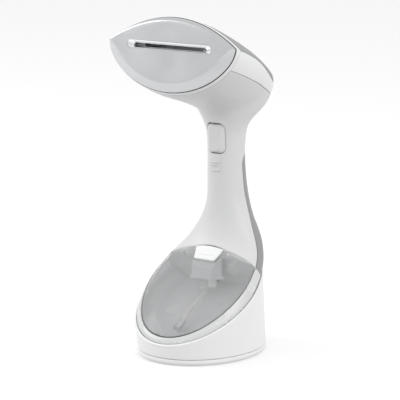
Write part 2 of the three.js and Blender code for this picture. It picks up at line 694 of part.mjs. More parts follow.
function tankSeal() {
  const half = SEAL_HEIGHT / 2;
  const strip = sideCut([...movedLine(FACE_EDGE, -half), ...movedLine(FACE_EDGE, half).reverse()]);
  const sunk = skinSolid(9, LAST_SECTION, 0.5).subtract(innerSkin);
  return sunk.intersect(strip).intersect(aheadOfSeam);
}

// The lower half with its rear wall, which rises behind the window.
function tankBowl() {
  const shell = casing.intersect(aheadOfSeam).intersect(belowFace);
  const front = movedLine(TANK_SEAM, -GAP / 2);
  const back = movedLine(TANK_SEAM, -GAP / 2 - 1.8);
  const room = insideCasing.add(outerSkin.intersect(belowFace));
  const wall = sideCut([...front, ...back.reverse()]).intersect(room);
  const plugHole = rod(PLUG.radius + GAP, 20, seamPoint(PLUG.x, PLUG.down, -10), SEAM_OUT);
  const portHole = rod(4.3, 20, seamPoint(0, PORT_DOWN, -10), SEAM_OUT);
  return shell.add(wall).subtract(plugHole).subtract(portHole);
}

add(tank, "tank_window", tankWindow(), SMOKE);
add(tank, "tank_seal", tankSeal(), DARK_RUBBER);
add(tank, "tank_bowl", tankBowl(), FROSTED);

// The tower below the latch, open at the top, with the latch pin across it. It is as wide as the
// latch above it: narrow at the front and wide at the back.
const TOWER = { front: 5, back: 18.6, floor: 76, wall: 1.8, frontHalfWidth: 12.6, flare: 0.37 };

function towerBlock(grow, z0, z1) {
  const y0 = TOWER.front - grow;
  const y1 = TOWER.back + grow;
  const halfWidth = (y) => TOWER.frontHalfWidth + TOWER.flare * (y - TOWER.front) + grow;
  const plan = [[-halfWidth(y0), y0], [halfWidth(y0), y0], [halfWidth(y1), y1], [-halfWidth(y1), y1]];
  return extruded(plan, z1 - z0, [0, 0, z0], [1, 0, 0], [0, 1, 0]);
}

function latchTower() {
  let tower = towerBlock(0, TOWER.floor, 110);
  tower = tower.subtract(towerBlock(-TOWER.wall, TOWER.floor + 1.5, 112));
  tower = tower.subtract(box(-10, 10, 15, 20, 86, 112)).intersect(skinSolid(8, 16, 4.2));
  const flange = towerBlock(1.4, TOWER.floor - 1.6, TOWER.floor + 0.6);
  const nozzle = rod(4.6, 8, [9, 12, 67], [0, 0, 1]);
  const pinBore = rod(1.5, 40, [-20, ...LATCH_AXIS], [1, 0, 0]);
  return tower.add(flange).add(nozzle).subtract(pinBore);
}
add(tank, "latch_tower", latchTower(), FROSTED);

function fillPlug() {
  const profile = [[0, 0], [5.4, 0], [PLUG.radius, 1], [PLUG.radius, 5.4], [0, 5.4]];
  return turned(profile, seamPoint(PLUG.x, PLUG.down, -5.4 - GAP / 2), SEAM_OUT);
}
add(tank, "fill_plug", fillPlug(), SILICONE);

function outletValve() {
  const profile = [[2, 0], [5.6, 0], [5.6, 2], [4, 2], [4, 4.1], [2, 4.1], [2, 0]];
  return turned(profile, seamPoint(0, PORT_DOWN, -4.1 - GAP / 2), SEAM_OUT);
}
add(tank, "outlet_valve", outletValve(), BLACK_PLASTIC);

add(
  tank,
  "suction_pipe",
  hose([seamPoint(0, PORT_DOWN, -4.6), [0, 24, 67.6], [0, 6, 55.5], [0, -14, 46], [0, -28.4, 37.6]], 1.9, 14),
  SILICONE,
);
add(tank, "filter_weight", rod(4.2, 12, [0, -28.8, 37.3], [0, -0.87, -0.5]), STEEL);

function latch() {
  const plate = skinSolid(9, 15, -1.2).subtract(skinSolid(8.5, 15.5, 2));
  const behindSeam = sideCut([[20.6, 60], [200, 60], [200, 200], [20.6, 200]]);
  let tab = plate.intersect(latchPrism(0)).subtract(behindSeam);
  const ridge = extruded(stadium(9, 0.7), 2, [0, 14, 99], [1, 0, 0], SLOPE);
  tab = tab.add(ridge);
  const [pinY, pinZ] = LATCH_AXIS;
  const lug = box(-6, 6, pinY - 2.6, pinY + 2.2, pinZ - 2.6, pinZ + 6).intersect(skinSolid(9, 15, 1));
  return tab.add(lug).subtract(rod(1.5, 40, [-20, pinY, pinZ], [1, 0, 0]));
}
add(tank, "tank_latch", latch(), WHITE);
add(tank, "latch_pin", rod(1.2, 32.4, [-16.2, ...LATCH_AXIS], [1, 0, 0]), STEEL);

const latchSpring = add(tank, "latch_spring", coil(2.6, 10, 4, 0.4), STEEL);
latchSpring.position.set(0, 10.3, 78.4);

// ---------------------------------------------------------------- stand
// A horizontal oval about the base's centre.
function baseOval(z, inset, count = RING_POINTS) {
  return Array.from({ length: count }, (_, i) => {
    const angle = (2 * Math.PI * i) / count;
    const x = (STAND_BASE_WIDTH - inset) * Math.cos(angle);
    const y = STAND_BASE_SHIFT + (STAND_BASE_LENGTH - inset) * Math.sin(angle);
    return new THREE.Vector3(x, y, z);
  });
}

// The stand's wall: rings that turn from the level base oval into the tilted rim.
function standBody(inset, below, above) {
  const rimInset = insetSection(rimSection(0, STAND_RIM_WIDTH, STAND_RIM_LENGTH), inset);
  const rim = ring(rimInset);
  const base = baseOval(STAND_SEAM, inset);
  const rings = [-below, 0, 0.25, 0.5, 0.75, 1, 1 + above].filter((k, i, all) => i === 0 || k > all[i - 1]);
  return solidThrough(rings.map((k) => base.map((p, i) => p.clone().lerp(rim[i], k))));
}

const standWall = STAND_RIM_WIDTH - FOOT_HALF_WIDTH - DOCK_CLEARANCE;
const standCavity = standBody(standWall + GAP, 0.1, 0);
const SCREW_SPOTS = [[-30, -18], [30, -18], [-30, 36], [30, 36]];

add(stand, "stand_shell", standBody(0, 0, 0).subtract(standBody(standWall, 0.2, 0.2)), WHITE);

function standTray() {
  const start = RIM_SECTION + 0.35;
  const outside = skinSolid(start, LAST_SECTION, -2.4);
  const inside = skinSolid(start - 0.2, LAST_SECTION, -DOCK_CLEARANCE);
  let tray = outside.subtract(inside).intersect(standCavity);
  for (const [x, y] of SCREW_SPOTS) {
    const post = rod(4.5, 90, [x, y, STAND_SEAM + GAP], [0, 0, 1]);
    tray = tray.add(post.subtract(skinSolid(8, LAST_SECTION, -1.4)).subtract(aboveRim()));
    tray = tray.subtract(rod(1.3, 14, [x, y, STAND_SEAM], [0, 0, 1]));
  }
  return tray;
}

// Everything above a plane just below the stand's rim.
function aboveRim() {
  const [fy, fz, by, bz] = rimSection(6, 1, 120);
  return sideCut([[fy, fz], [by, bz], [by, 400], [fy, 400]]);
}
add(stand, "stand_tray", standTray(), WHITE);

function basePlate() {
  const top = STAND_SEAM - 0.5;
  let plate = solidThrough([baseOval(1, 2), baseOval(2, 0.5), baseOval(3, 0), baseOval(top, 0)]);
  const lip = solidThrough([baseOval(top - 1, 4), baseOval(top + 2.5, 4)]);
  const lipInside = solidThrough([baseOval(top, 6), baseOval(top + 4, 6)]);
  plate = plate.add(lip.subtract(lipInside));
  plate = plate.subtract(solidThrough([baseOval(0, 9.7), baseOval(PAD_THICKNESS + GAP, 9.7)]));
  for (const [x, y] of SCREW_SPOTS) {
    plate = plate.subtract(rod(1.9, 20, [x, y, 0], [0, 0, 1]));
    plate = plate.subtract(rod(3.7, 4.4, [x, y, 0], [0, 0, 1]));
  }
  return plate;
}
add(stand, "stand_base_plate", basePlate(), WHITE);
add(stand, "anti_slip_pad", solidThrough([baseOval(0, 10), baseOval(PAD_THICKNESS, 10)]), DARK_RUBBER);

SCREW_SPOTS.forEach(([x, y], i) => {
  const profile = [[0, 0], [1, 0], [1, -9], [3.2, -9], [3.2, -10.6], [1, -10.6], [1, -9.9], [0, -9.9]];
  const screw = turned(profile, [0, 0, 0], [0, 0, 1], 12);
  const mesh = add(stand, `stand_screw_${i + 1}`, screw, STEEL);
  mesh.position.set(x, y, 13.1);
});

export default steamerOnStand;
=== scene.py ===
# Handheld garment steamer on its stand: the finished visual model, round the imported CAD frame.
# Metres, +Z up. The steam plate faces -Y and the object is symmetric in X.
import json
import math

import bmesh
import bpy
import numpy as np
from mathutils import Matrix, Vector


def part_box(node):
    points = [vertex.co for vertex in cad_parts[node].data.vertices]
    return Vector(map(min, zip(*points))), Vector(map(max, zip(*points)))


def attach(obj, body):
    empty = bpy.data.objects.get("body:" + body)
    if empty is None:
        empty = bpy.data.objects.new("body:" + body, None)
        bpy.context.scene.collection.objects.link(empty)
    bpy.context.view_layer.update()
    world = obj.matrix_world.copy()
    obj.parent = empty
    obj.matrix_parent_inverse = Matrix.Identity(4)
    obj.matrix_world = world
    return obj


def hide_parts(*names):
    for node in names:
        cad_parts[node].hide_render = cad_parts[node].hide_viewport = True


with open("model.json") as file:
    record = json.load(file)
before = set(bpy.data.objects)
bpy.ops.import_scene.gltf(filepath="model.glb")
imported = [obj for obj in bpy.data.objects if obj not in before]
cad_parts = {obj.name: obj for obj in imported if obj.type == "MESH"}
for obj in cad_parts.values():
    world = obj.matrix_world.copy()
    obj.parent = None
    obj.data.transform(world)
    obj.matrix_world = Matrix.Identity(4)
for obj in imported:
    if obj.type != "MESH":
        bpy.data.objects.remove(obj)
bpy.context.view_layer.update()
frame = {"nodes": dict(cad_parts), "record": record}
MM = 0.001
WELD = 2e-6  # points closer than this are one, in metres

# ------------------------------------------------------------------ driving dimensions, in mm
WALL = 2.0  # casing thickness
SEAM_GAP = 0.36  # width of a parting line
EDGE_ROUND = 0.7  # radius of the softened edge along a parting line
BEZEL_DEPTH = 5.0  # the bezel ring, from its front edge back to the parting line behind it
COLUMNS = 144  # points round one section of the casing or one ring of the stand
SKIN_STEP = 0.09  # spacing of the skin's rings, in rows of SKIN
FAR = 50.0  # what a field says well inside its piece, and -FAR well outside it

NECK_SOFTENING = (1.6, 2.6, 4.7, 5.5)  # where the softening of the neck starts, is full and ends
NECK_PASSES = 16
NECK_PULL = 0.25  # how strongly one pass draws a point to its neighbours
FLOOR_SHARES = (0.985, 0.95, 0.85, 0.65, 0.4, 0.15, 0.0)  # sizes of the rings across the foot's floor

RIM_TILT = math.radians(30)  # slope of the stand's opening
RIM_HEIGHT = 60.5  # middle of that opening
STAND_RIM = (64.5, 80.0)  # outer half width and half length of the stand's lip
STAND_BASE = (62.0, 73.7)  # half width and half length of its base oval
STAND_BASE_SHIFT = 6.5  # how far that oval sits behind the origin
STAND_SEAM = 6.8  # height of the seam between the stand's wall and its base
STAND_WALL = 2.2
FOOT_DEPTH = 15  # how far the foot goes into the opening
POST_BELOW_FOOT = 3.4  # from the foot's floor down to the top of a screw post
TRAY_START = 15.16  # row of SKIN where the tray under the foot begins
TRAY_ROOM = 0.4  # room between the foot and its tray
SCREW_SPOTS = [(-30, -18), (30, -18), (-30, 36), (30, 36)]  # the screws under the stand
REAR_SCREWS = ("rear_screw_top", "rear_screw_left", "rear_screw_right")

PLATE_PROUD = 6.0  # how far the steam plate stands out of its bezel
RECESS = (51.0, 4.3)  # half length and end radius of the recess round the steam slot
RECESS_DEPTH = 2.6
SLOT = (44.5, 2.2)  # half length and end radius of the slot
SLOT_UP = -3.0  # height of the recess, from the line between the plate's tips
SLOT_DROP = 1.0  # how far the slot sits below the middle of its recess


# ------------------------------------------------------------------ the casing's skin
def rim_section(depth, half_width, half_length):
    """A section parallel to the stand's opening, the given depth below it."""
    y = depth * math.sin(RIM_TILT)
    z = RIM_HEIGHT - depth * math.cos(RIM_TILT)
    run = half_length * math.cos(RIM_TILT)
    rise = half_length * math.sin(RIM_TILT)
    return [y - run, z - rise, y + run, z + rise, half_width, 0.5, 2, 2]


# One section of the casing a row, from the head's front edge down to the foot's floor: front Y and Z,
# back Y and Z, half width, place of the widest point (share from the front), then the roundness of
# the front and back arcs (2 is an ellipse, 1 a sharp-tipped lens).
SKIN = np.array(
    [
        [-53.6, 274.5, -40.5, 350.4, 78.5, 0.645, 1.65, 1.0],
        [-38.0, 267.5, -21.0, 344.0, 77.5, 0.65, 1.7, 1.05],
        [-19.0, 261.5, 12.0, 328.0, 73.0, 0.67, 1.75, 1.2],
        [2.0, 254.5, 50.0, 309.0, 62.5, 0.67, 1.8, 1.4],
        [17.0, 247.5, 84.0, 285.0, 46.5, 0.76, 1.9, 1.7],
        [25.0, 239.5, 91.0, 261.0, 37.0, 0.66, 2, 2],
        [29.0, 225.0, 75.0, 235.0, 22.5, 0.52, 2, 2],
        [29.5, 208.0, 70.5, 210.0, 19.2, 0.5, 2, 2],
        [29.5, 180.0, 72.0, 181.0, 19.4, 0.5, 2, 2],
        [30.0, 152.0, 76.0, 155.0, 21.5, 0.5, 2, 2],
        [28.5, 128.0, 78.5, 137.0, 29.0, 0.4, 2, 2],
        [18.5, 104.0, 80.0, 127.0, 39.5, 0.34, 2, 2],
        [-8.0, 81.5, 80.0, 119.0, 50.5, 0.35, 2, 2],
        [-38.0, 56.0, 78.0, 112.0, 58.5, 0.4, 2, 2],
        [-58.5, 36.0, 74.5, 106.0, 61.5, 0.46, 2, 2],
        rim_section(0, 61.8, 77),
        rim_section(8, 57.5, 72),
        rim_section(FOOT_DEPTH, 47, 60),
    ]
)
LAST = len(SKIN) - 1

# Parting lines of the casing, seen from the side as (Y, Z): two across the head, then the edge of
# the rear cover, the tank's outline and the line between the tank's window and its bowl.
CREASE = [(-60, 331), (-45.2, 323.5), (-27, 317.2), (1.8, 306.1), (34.2, 291), (68, 276.3), (110, 257)]
BAND_SEAM = [(-60, 306.5), (-44, 301.3), (8, 284.8), (60, 268), (76, 259), (110, 242)]
REAR_SEAM = [
    (24.3, 90), (33.5, 98.3), (44, 110), (50, 122.6), (54, 136), (55.5, 150), (54, 163),
    (52.5, 180), (52.5, 192.5), (58, 199), (68, 204), (110, 208),
]
TANK_SEAM = [(-120, 118), (21, 118), (21, 95.7), (24.3, 90), (80, -6.5)]
FACE_EDGE = [(-90, 10.1), (40, 101.6)]


def catmull_rom(before, at, after, beyond, f):
    """The smooth curve through four rows, at the share f of the way from the second to the third."""
    bend = (2 * before - 5 * at + 4 * after - beyond) * f * f
    turn = (-before + 3 * at - 3 * after + beyond) * f**3
    return 0.5 * (2 * at + (after - before) * f + bend + turn)


def skin_section(t):
    """The skin's section at place t, a row number of SKIN with a fraction."""
    i = max(0, min(LAST - 1, math.floor(t)))
    at, after = SKIN[i], SKIN[i + 1]
    before = SKIN[i - 1] if i > 0 else 2 * at - after
    beyond = SKIN[i + 2] if i + 2 <= LAST else 2 * after - at
    return catmull_rom(before, at, after, beyond, t - i)


def inset_section(section, inset, back_inset=None):
    """The same section pulled in by inset all round, or by back_inset at its back."""
    fy, fz, by, bz, width, *rest = section
    back_inset = inset if back_inset is None else back_inset
    y, z = np.array([by - fy, bz - fz]) / math.hypot(by - fy, bz - fz)
    front = [fy + inset * y, fz + inset * z]
    back = [by - back_inset * y, bz - back_inset * z]
    return np.array([*front, *back, width - inset, *rest])


def moved_section(section, distance):
    """A section moved along its own normal, into the object."""
    fy, fz, by, bz, *rest = section
    length = math.hypot(by - fy, bz - fz)
    y = distance * (bz - fz) / length
    z = -distance * (by - fy) / length
    return np.array([fy + y, fz + z, by + y, bz + z, *rest])


def section_points(section, angles):
    """Points of a section at the given angles, as an array of (x, y, z)."""
    fy, fz, by, bz, width, widest, front, back = section
    s = np.sin(angles)
    size = np.abs(s)
    share = np.where(s < 0, widest * (1 - size ** (2 / front)), widest + (1 - widest) * size ** (2 / back))
    return np.stack([width * np.cos(angles), fy + share * (by - fy), fz + share * (bz - fz)], axis=-1)


def skin_grid():
    """The skin from the head to the foot's floor, as (point, outward normal) rows, and its ring count."""
    angles = 2 * math.pi * np.arange(COLUMNS) / COLUMNS
    places = np.linspace(0, LAST, round(LAST / SKIN_STEP) + 1)
    points = np.array([section_points(skin_section(t), angles) for t in places])
    share = np.interp(places, NECK_SOFTENING, (0, 1, 1, 0))[1:-1, None, None]
    for _ in range(NECK_PASSES):
        points[1:-1] += NECK_PULL * share * (points[2:] - 2 * points[1:-1] + points[:-2])
        beside = np.roll(points, 1, axis=1) + np.roll(points, -1, axis=1)
        points[1:-1] += NECK_PULL * share * (beside - 2 * points)[1:-1]
    down = np.gradient(points, axis=0)
    turn = np.roll(points, -1, axis=1) - np.roll(points, 1, axis=1)
    normals = np.cross(turn, down)
    normals /= np.linalg.norm(normals, axis=2, keepdims=True)
    away = points - points.mean(axis=1, keepdims=True)
    normals *= np.sign((normals * away).sum(axis=(1, 2)))[:, None, None]
    underside = np.array([0, math.sin(RIM_TILT), -math.cos(RIM_TILT)])
    edge, middle = points[-1], points[-1].mean(axis=0)
    floor = np.array([middle + share * (edge - middle) for share in FLOOR_SHARES])
    points = np.concatenate([points, floor])
    normals = np.concatenate([normals, np.tile(underside, (len(floor), COLUMNS, 1))])
    return np.concatenate([points, normals], axis=2).reshape(-1, 6), len(points)


def grid_faces(rows, columns, closed=True):
    """The quads of a grid of points, row by row."""
    faces = []
    for r in range(rows - 1):
        for c in range(columns if closed else columns - 1):
            a = r * columns + c
            b = r * columns + (c + 1) % columns
            faces.append([a, b, b + columns, a + columns])
    return faces


SKIN_DATA, SKIN_ROWS = skin_grid()
SKIN_FACES = grid_faces(SKIN_ROWS, COLUMNS)


# ------------------------------------------------------------------ cutting the skin along its seams
# A field takes points and says, in mm, how far each is on the kept side of a line, negative beyond it.
CUT_TOUCH = 1e-3  # a point nearer to the cut than this lies on it
EDGE_ROWS = (0.3, 1.0)  # where the rounded edge has rows of points, as shares of its width


def smooth_line(points, steps=6):
    """A smooth curve through the points, as an array with so many steps from point to point."""
    p = np.array(points, float)
    p = np.vstack([2 * p[0] - p[1], p, 2 * p[-1] - p[-2]])
    line = []
    for i in range(1, len(p) - 2):
        for f in np.arange(steps) / steps:
            line.append(catmull_rom(p[i - 1], p[i], p[i + 1], p[i + 2], f))
    return np.vstack([line, p[-2]])


def line_distance(flat, line):
    """The distance of each flat point from the line, positive to the left of its travel."""
    start = line[:-1]
    run = line[1:] - start
    away = flat[:, None, :] - start
    share = np.clip((away * run).sum(axis=2) / (run**2).sum(axis=1), 0, 1)
    off = away - share[..., None] * run
    distance = np.hypot(off[..., 0], off[..., 1])
    nearest = distance.argmin(axis=1)
    each = np.arange(len(flat))
    off, run = away[each, nearest], run[nearest]
    left = run[:, 0] * off[:, 1] - run[:, 1] * off[:, 0]
    return np.where(left < 0, -1, 1) * distance[each, nearest]


def left_of(line):
    """A field that is positive to the left of the line's travel, in the side view."""
    line = np.array(line, float)
    return lambda points: line_distance(points[:, 1:3], line)


def right_of(line):
    """A field that is positive to the right of the line's travel, in the side view."""
    field = left_of(line)
    return lambda points: -field(points)


def rounded_rectangle(points, middle, half_width, half_height, radius):
    """The distance inside a rounded rectangle seen from the front."""
    x = np.abs(points[:, 0] - middle[0]) - half_width + radius
    z = np.abs(points[:, 2] - middle[1]) - half_height + radius
    outside = np.hypot(np.maximum(x, 0), np.maximum(z, 0))
    return radius - outside - np.minimum(np.maximum(x, z), 0)


def split(data, faces, field, level, keep_below):
    """Cuts the faces where the field passes the level, and drops what is below it unless it is kept."""
    value = field(data[:, :3]) - level
    value[np.abs(value) < CUT_TOUCH] = 0
    made = []
    crossings = {}

    def crossing(a, b):
        key = (min(a, b), max(a, b))
        if key not in crossings:
            share = value[a] / (value[a] - value[b])
            crossings[key] = len(data) + len(made)
            made.append(data[a] + share * (data[b] - data[a]))
        return crossings[key]

    kept = []
    for face in faces:
        values = [value[v] for v in face]
        if min(values) >= 0:
            kept.append(face)
            continue
        if max(values) <= 0:
            if keep_below:
                kept.append(face)
            continue
        above, below = [], []
        for a, b in zip(face, face[1:] + face[:1]):
            if value[a] >= 0:
                above.append(a)
            if value[a] <= 0:
                below.append(a)
            if value[a] * value[b] < 0:
                middle = crossing(a, b)
                above.append(middle)
                below.append(middle)
        kept.append(above)
        if keep_below:
            kept.append(below)
    if made:
        data = np.vstack([data, made])
    return data, [face for face in kept if len(face) > 2]


def compacted(data, faces):
    """The same faces without the points that none of them uses."""
    used = np.unique(np.concatenate([np.array(face) for face in faces]))
    place = np.full(len(data), -1)
    place[used] = np.arange(len(used))
    return data[used], [[int(place[v]) for v in face] for face in faces]


def shell(fields, lift=0.0, wall=WALL, rounding=EDGE_ROUND, gap=SEAM_GAP):
    """The part of the skin where every field is positive, as a closed shell with softened edges."""
    data, faces = SKIN_DATA, SKIN_FACES
    for field in fields:
        data, faces = compacted(*split(data, faces, field, gap / 2, False))
    for field in fields:
        for share in EDGE_ROWS:
            data, faces = split(data, faces, field, gap / 2 + share * rounding, True)
    inside = np.min([field(data[:, :3]) for field in fields], axis=0) - gap / 2
    short = np.clip(rounding - inside, 0, rounding)
    sink = rounding - np.sqrt(rounding**2 - short**2)
    points = data[:, :3]
    normals = data[:, 3:] / np.linalg.norm(data[:, 3:], axis=1, keepdims=True)
    outer = points + normals * (lift - sink)[:, None]
    inner = points + normals * (lift - wall)
    return closed_shell(outer, inner, faces)


def closed_shell(outer, inner, faces):
    """A closed body between two sheets of points with the same faces."""
    count = len(outer)
    edges = {}
    for face in faces:
        for a, b in zip(face, face[1:] + face[:1]):
            edges[(a, b)] = True
    sides = [[b, a, a + count, b + count] for a, b in edges if (b, a) not in edges]
    back = [[v + count for v in reversed(face)] for face in faces]
    return np.vstack([outer, inner]), faces + back + sides


# ------------------------------------------------------------------ lofts
def loft(rings, cap_start=True, cap_end=True):
    """A body through rings of equal count. A cap is drawn in to the ring's middle."""
    rings = [np.array(ring, float) for ring in rings]
    if cap_start:
        rings.insert(0, np.tile(rings[0].mean(axis=0), (len(rings[0]), 1)))
    if cap_end:
        rings.append(np.tile(rings[-1].mean(axis=0), (len(rings[-1]), 1)))
    return np.vstack(rings), grid_faces(len(rings), len(rings[0]))


def ring_loft(rings):
    """A closed body whose last ring joins its first, such as a rim."""
    return loft(list(rings) + [rings[0]], False, False)


def joined(*bodies):
    """Several bodies as one mesh."""
    points, faces, start = [], [], 0
    for body_points, body_faces in bodies:
        points.append(body_points)
        faces += [[v + start for v in face] for face in body_faces]
        start += len(body_points)
    return np.vstack(points), faces


def turned(profile, origin, direction, sides=48):
    """A turned body: (radius, height) pairs about an axis. It closes on the axis or on itself."""
    axis = Vector(direction).normalized()
    across = axis.orthogonal().normalized()
    other = axis.cross(across)
    rings = []
    for radius, height in profile:
        angle = 2 * math.pi * np.arange(sides) / sides
        spoke = np.outer(np.cos(angle), across) + np.outer(np.sin(angle), other)
        rings.append(np.array(origin) + height * np.array(axis) + radius * spoke)
    return loft(rings, False, False)


def rounded_outline(half_width, half_height, radius, corners=8):
    """(across, up) points round a rectangle with round corners."""
    outline = []
    for side_x, side_y, start in ((1, 1, 0), (-1, 1, 90), (-1, -1, 180), (1, -1, 270)):
        for i in range(corners + 1):
            angle = math.radians(start + 90 * i / corners)
            x = side_x * (half_width - radius) + radius * math.cos(angle)
            y = side_y * (half_height - radius) + radius * math.sin(angle)
            outline.append((x, y))
    return np.array(outline)


def build(name, mesh_data, body, nodes, material, smooth=38):
    """Makes the object, puts it on its body and lets it stand for its CAD nodes.

    Edges that turn by more than smooth degrees stay sharp.
    """
    points, faces = mesh_data
    mesh = bpy.data.meshes.new(name)
    mesh.from_pydata((points * MM).tolist(), [], faces)
    work = bmesh.new()
    work.from_mesh(mesh)
    bmesh.ops.remove_doubles(work, verts=work.verts, dist=WELD)
    bmesh.ops.dissolve_degenerate(work, edges=work.edges, dist=WELD)
    bmesh.ops.recalc_face_normals(work, faces=work.faces)
    work.to_mesh(mesh)
    work.free()
    mesh.polygons.foreach_set("use_smooth", [True] * len(mesh.polygons))
    mesh.set_sharp_from_angle(angle=math.radians(smooth))
    obj = bpy.data.objects.new(name, mesh)
    bpy.context.scene.collection.objects.link(obj)
    mesh.materials.append(material)
    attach(obj, body)
    if nodes:
        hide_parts(*nodes)
    return obj


# ------------------------------------------------------------------ materials
ROUGHNESS_SPREAD = 0.04


def new_material(name):
    """A material with its node tree's nodes and links, and its shader."""
    material = bpy.data.materials.new(name)
    material.use_nodes = True
    nodes = material.node_tree.nodes
    links = material.node_tree.links
    return material, nodes, links, nodes["Principled BSDF"]


def noise(nodes, links, scale, detail=3.0):
    """A noise in the object's own metres."""
    place = nodes.new("ShaderNodeTexCoord")
    texture = nodes.new("ShaderNodeTexNoise")
    texture.inputs["Scale"].default_value = scale
    texture.inputs["Detail"].default_value = detail
    links.new(place.outputs["Object"], texture.inputs["Vector"])
    return texture.outputs["Fac"]


def spread(nodes, links, value, low, high):
    """The noise value, which mostly lies between 0.3 and 0.7, stretched over low to high."""
    reach = nodes.new("ShaderNodeMapRange")
    reach.inputs["From Min"].default_value = 0.3
    reach.inputs["From Max"].default_value = 0.7
    reach.inputs["To Min"].default_value = low
    reach.inputs["To Max"].default_value = high
    links.new(value, reach.inputs["Value"])
    return reach.outputs["Result"]


def tinted(nodes, links, color, variation, value):
    """The colour, a little lighter or darker from place to place."""
    mix = nodes.new("ShaderNodeMix")
    mix.data_type = "RGBA"
    mix.inputs["A"].default_value = (*[c * (1 - variation) for c in color], 1)
    mix.inputs["B"].default_value = (*[min(1, c * (1 + variation)) for c in color], 1)
    links.new(value, mix.inputs["Factor"])
    return mix.outputs["Result"]


def finish_material(name, color, roughness, metallic=0.0, variation=0.02, patch=0.03, grain=0.0004,
                    grain_depth=0.00001, **sockets):
    """A moulded or metal finish: slow colour and gloss variation over a fine surface grain.

    The sizes of the patches and the grain are in metres. The sockets are the shader's own.
    """
    material, nodes, links, shader = new_material(name)
    slow = noise(nodes, links, 1 / patch)
    links.new(tinted(nodes, links, color, variation, slow), shader.inputs["Base Color"])
    low, high = roughness - ROUGHNESS_SPREAD, roughness + ROUGHNESS_SPREAD
    links.new(spread(nodes, links, slow, low, high), shader.inputs["Roughness"])
    shader.inputs["Metallic"].default_value = metallic
    bump = nodes.new("ShaderNodeBump")
    bump.inputs["Strength"].default_value = 0.5
    bump.inputs["Distance"].default_value = grain_depth
    links.new(noise(nodes, links, 1 / grain, 2.0), bump.inputs["Height"])
    links.new(bump.outputs["Normal"], shader.inputs["Normal"])
    for socket, value in sockets.items():
        shader.inputs[socket.replace("_", " ")].default_value = value
    return material


WHITE = finish_material("white_gloss", (0.88, 0.882, 0.885), 0.40)
STAND_WHITE = finish_material("stand_white", (0.88, 0.882, 0.885), 0.40)
SHELL = finish_material("shell_grey", (0.71, 0.712, 0.712), 0.42)
REAR = finish_material("rear_grey", (0.31, 0.313, 0.32), 0.42)
PLATE = finish_material(
    "plate_metal", (0.57, 0.578, 0.59), 0.32, metallic=0.9, grain=0.0012, grain_depth=0.000003
)
CHROME = finish_material("chrome_liner", (0.82, 0.83, 0.84), 0.12, metallic=1.0)
STEEL = finish_material("steel", (0.55, 0.56, 0.57), 0.28, metallic=1.0)
SMOKE = finish_material(
    "smoky_clear", (0.885, 0.89, 0.895), 0.1, variation=0.01, Transmission_Weight=0.84, IOR=1.22
)
FROSTED = finish_material(
    "frosted_clear", (0.90, 0.905, 0.91), 0.25, Transmission_Weight=0.3, IOR=1.3, Coat_Weight=0.4
)
CAST = finish_material(
    "cast_metal", (0.42, 0.43, 0.44), 0.5, metallic=0.9, grain=0.0012, grain_depth=0.0001
)
RUBBER = finish_material("dark_rubber", (0.065, 0.065, 0.068), 0.7, variation=0.15, grain_depth=0.00003)
SILICONE = finish_material(
    "silicone", (0.72, 0.72, 0.70), 0.45, Subsurface_Weight=0.2, Subsurface_Scale=0.002
)
BRASS = finish_material("brass", (0.72, 0.52, 0.22), 0.3, metallic=1.0)
BOARD = finish_material("board_green", (0.03, 0.16, 0.08), 0.4, variation=0.35, patch=0.002)
BLACK = finish_material("black_plastic", (0.03, 0.03, 0.032), 0.45, variation=0.15)
RETAINER = finish_material("retainer_grey", (0.45, 0.455, 0.46), 0.5)
MATERIALS = {  # the finish of each material slot in the record
    "white_gloss": WHITE, "shell_grey": SHELL, "rear_grey": REAR, "plate_metal": PLATE,
    "chrome_liner": CHROME, "steel": STEEL, "smoky_clear": SMOKE, "frosted_clear": FROSTED,
    "cast_metal": CAST, "dark_rubber": RUBBER, "silicone": SILICONE, "brass": BRASS,
    "board_green": BOARD, "black_plastic": BLACK, "retainer_grey": RETAINER,
}


def carry_over_cad_finishes():
    """Every CAD node gets the finish of its slot, whether or not a detailed piece stands for it."""
    for part in frame["record"]["subparts"]:
        obj = frame["nodes"][part["node"]]
        obj.data.materials.clear()
        obj.data.materials.append(MATERIALS[part["material_slot"]])
        obj.data.polygons.foreach_set("use_smooth", [True] * len(obj.data.polygons))
        obj.data.set_sharp_from_angle(angle=math.radians(32))


# ------------------------------------------------------------------ seams as fields
HEAD_FRONT = skin_section(0)
BEZEL_BACK = moved_section(HEAD_FRONT, BEZEL_DEPTH)


def stretched_line(section):
    """The section's line in the side view, from low to high, carried on past both ends."""
    low, high = np.array(section[0:2]), np.array(section[2:4])
    return [low - (high - low), high + (high - low)]


ahead_of_bezel_line = left_of(stretched_line(BEZEL_BACK))
behind_bezel_line = right_of(stretched_line(BEZEL_BACK))
behind_front = right_of(stretched_line(HEAD_FRONT))
above_crease, below_crease = left_of(smooth_line(CREASE)), right_of(smooth_line(CREASE))
above_band, below_band = left_of(smooth_line(BAND_SEAM)), right_of(smooth_line(BAND_SEAM))
ahead_of_rear, behind_rear = left_of(smooth_line(REAR_SEAM)), right_of(smooth_line(REAR_SEAM))
behind_tank, ahead_of_tank = left_of(TANK_SEAM), right_of(TANK_SEAM)
above_face, below_face = left_of(FACE_EDGE), right_of(FACE_EDGE)


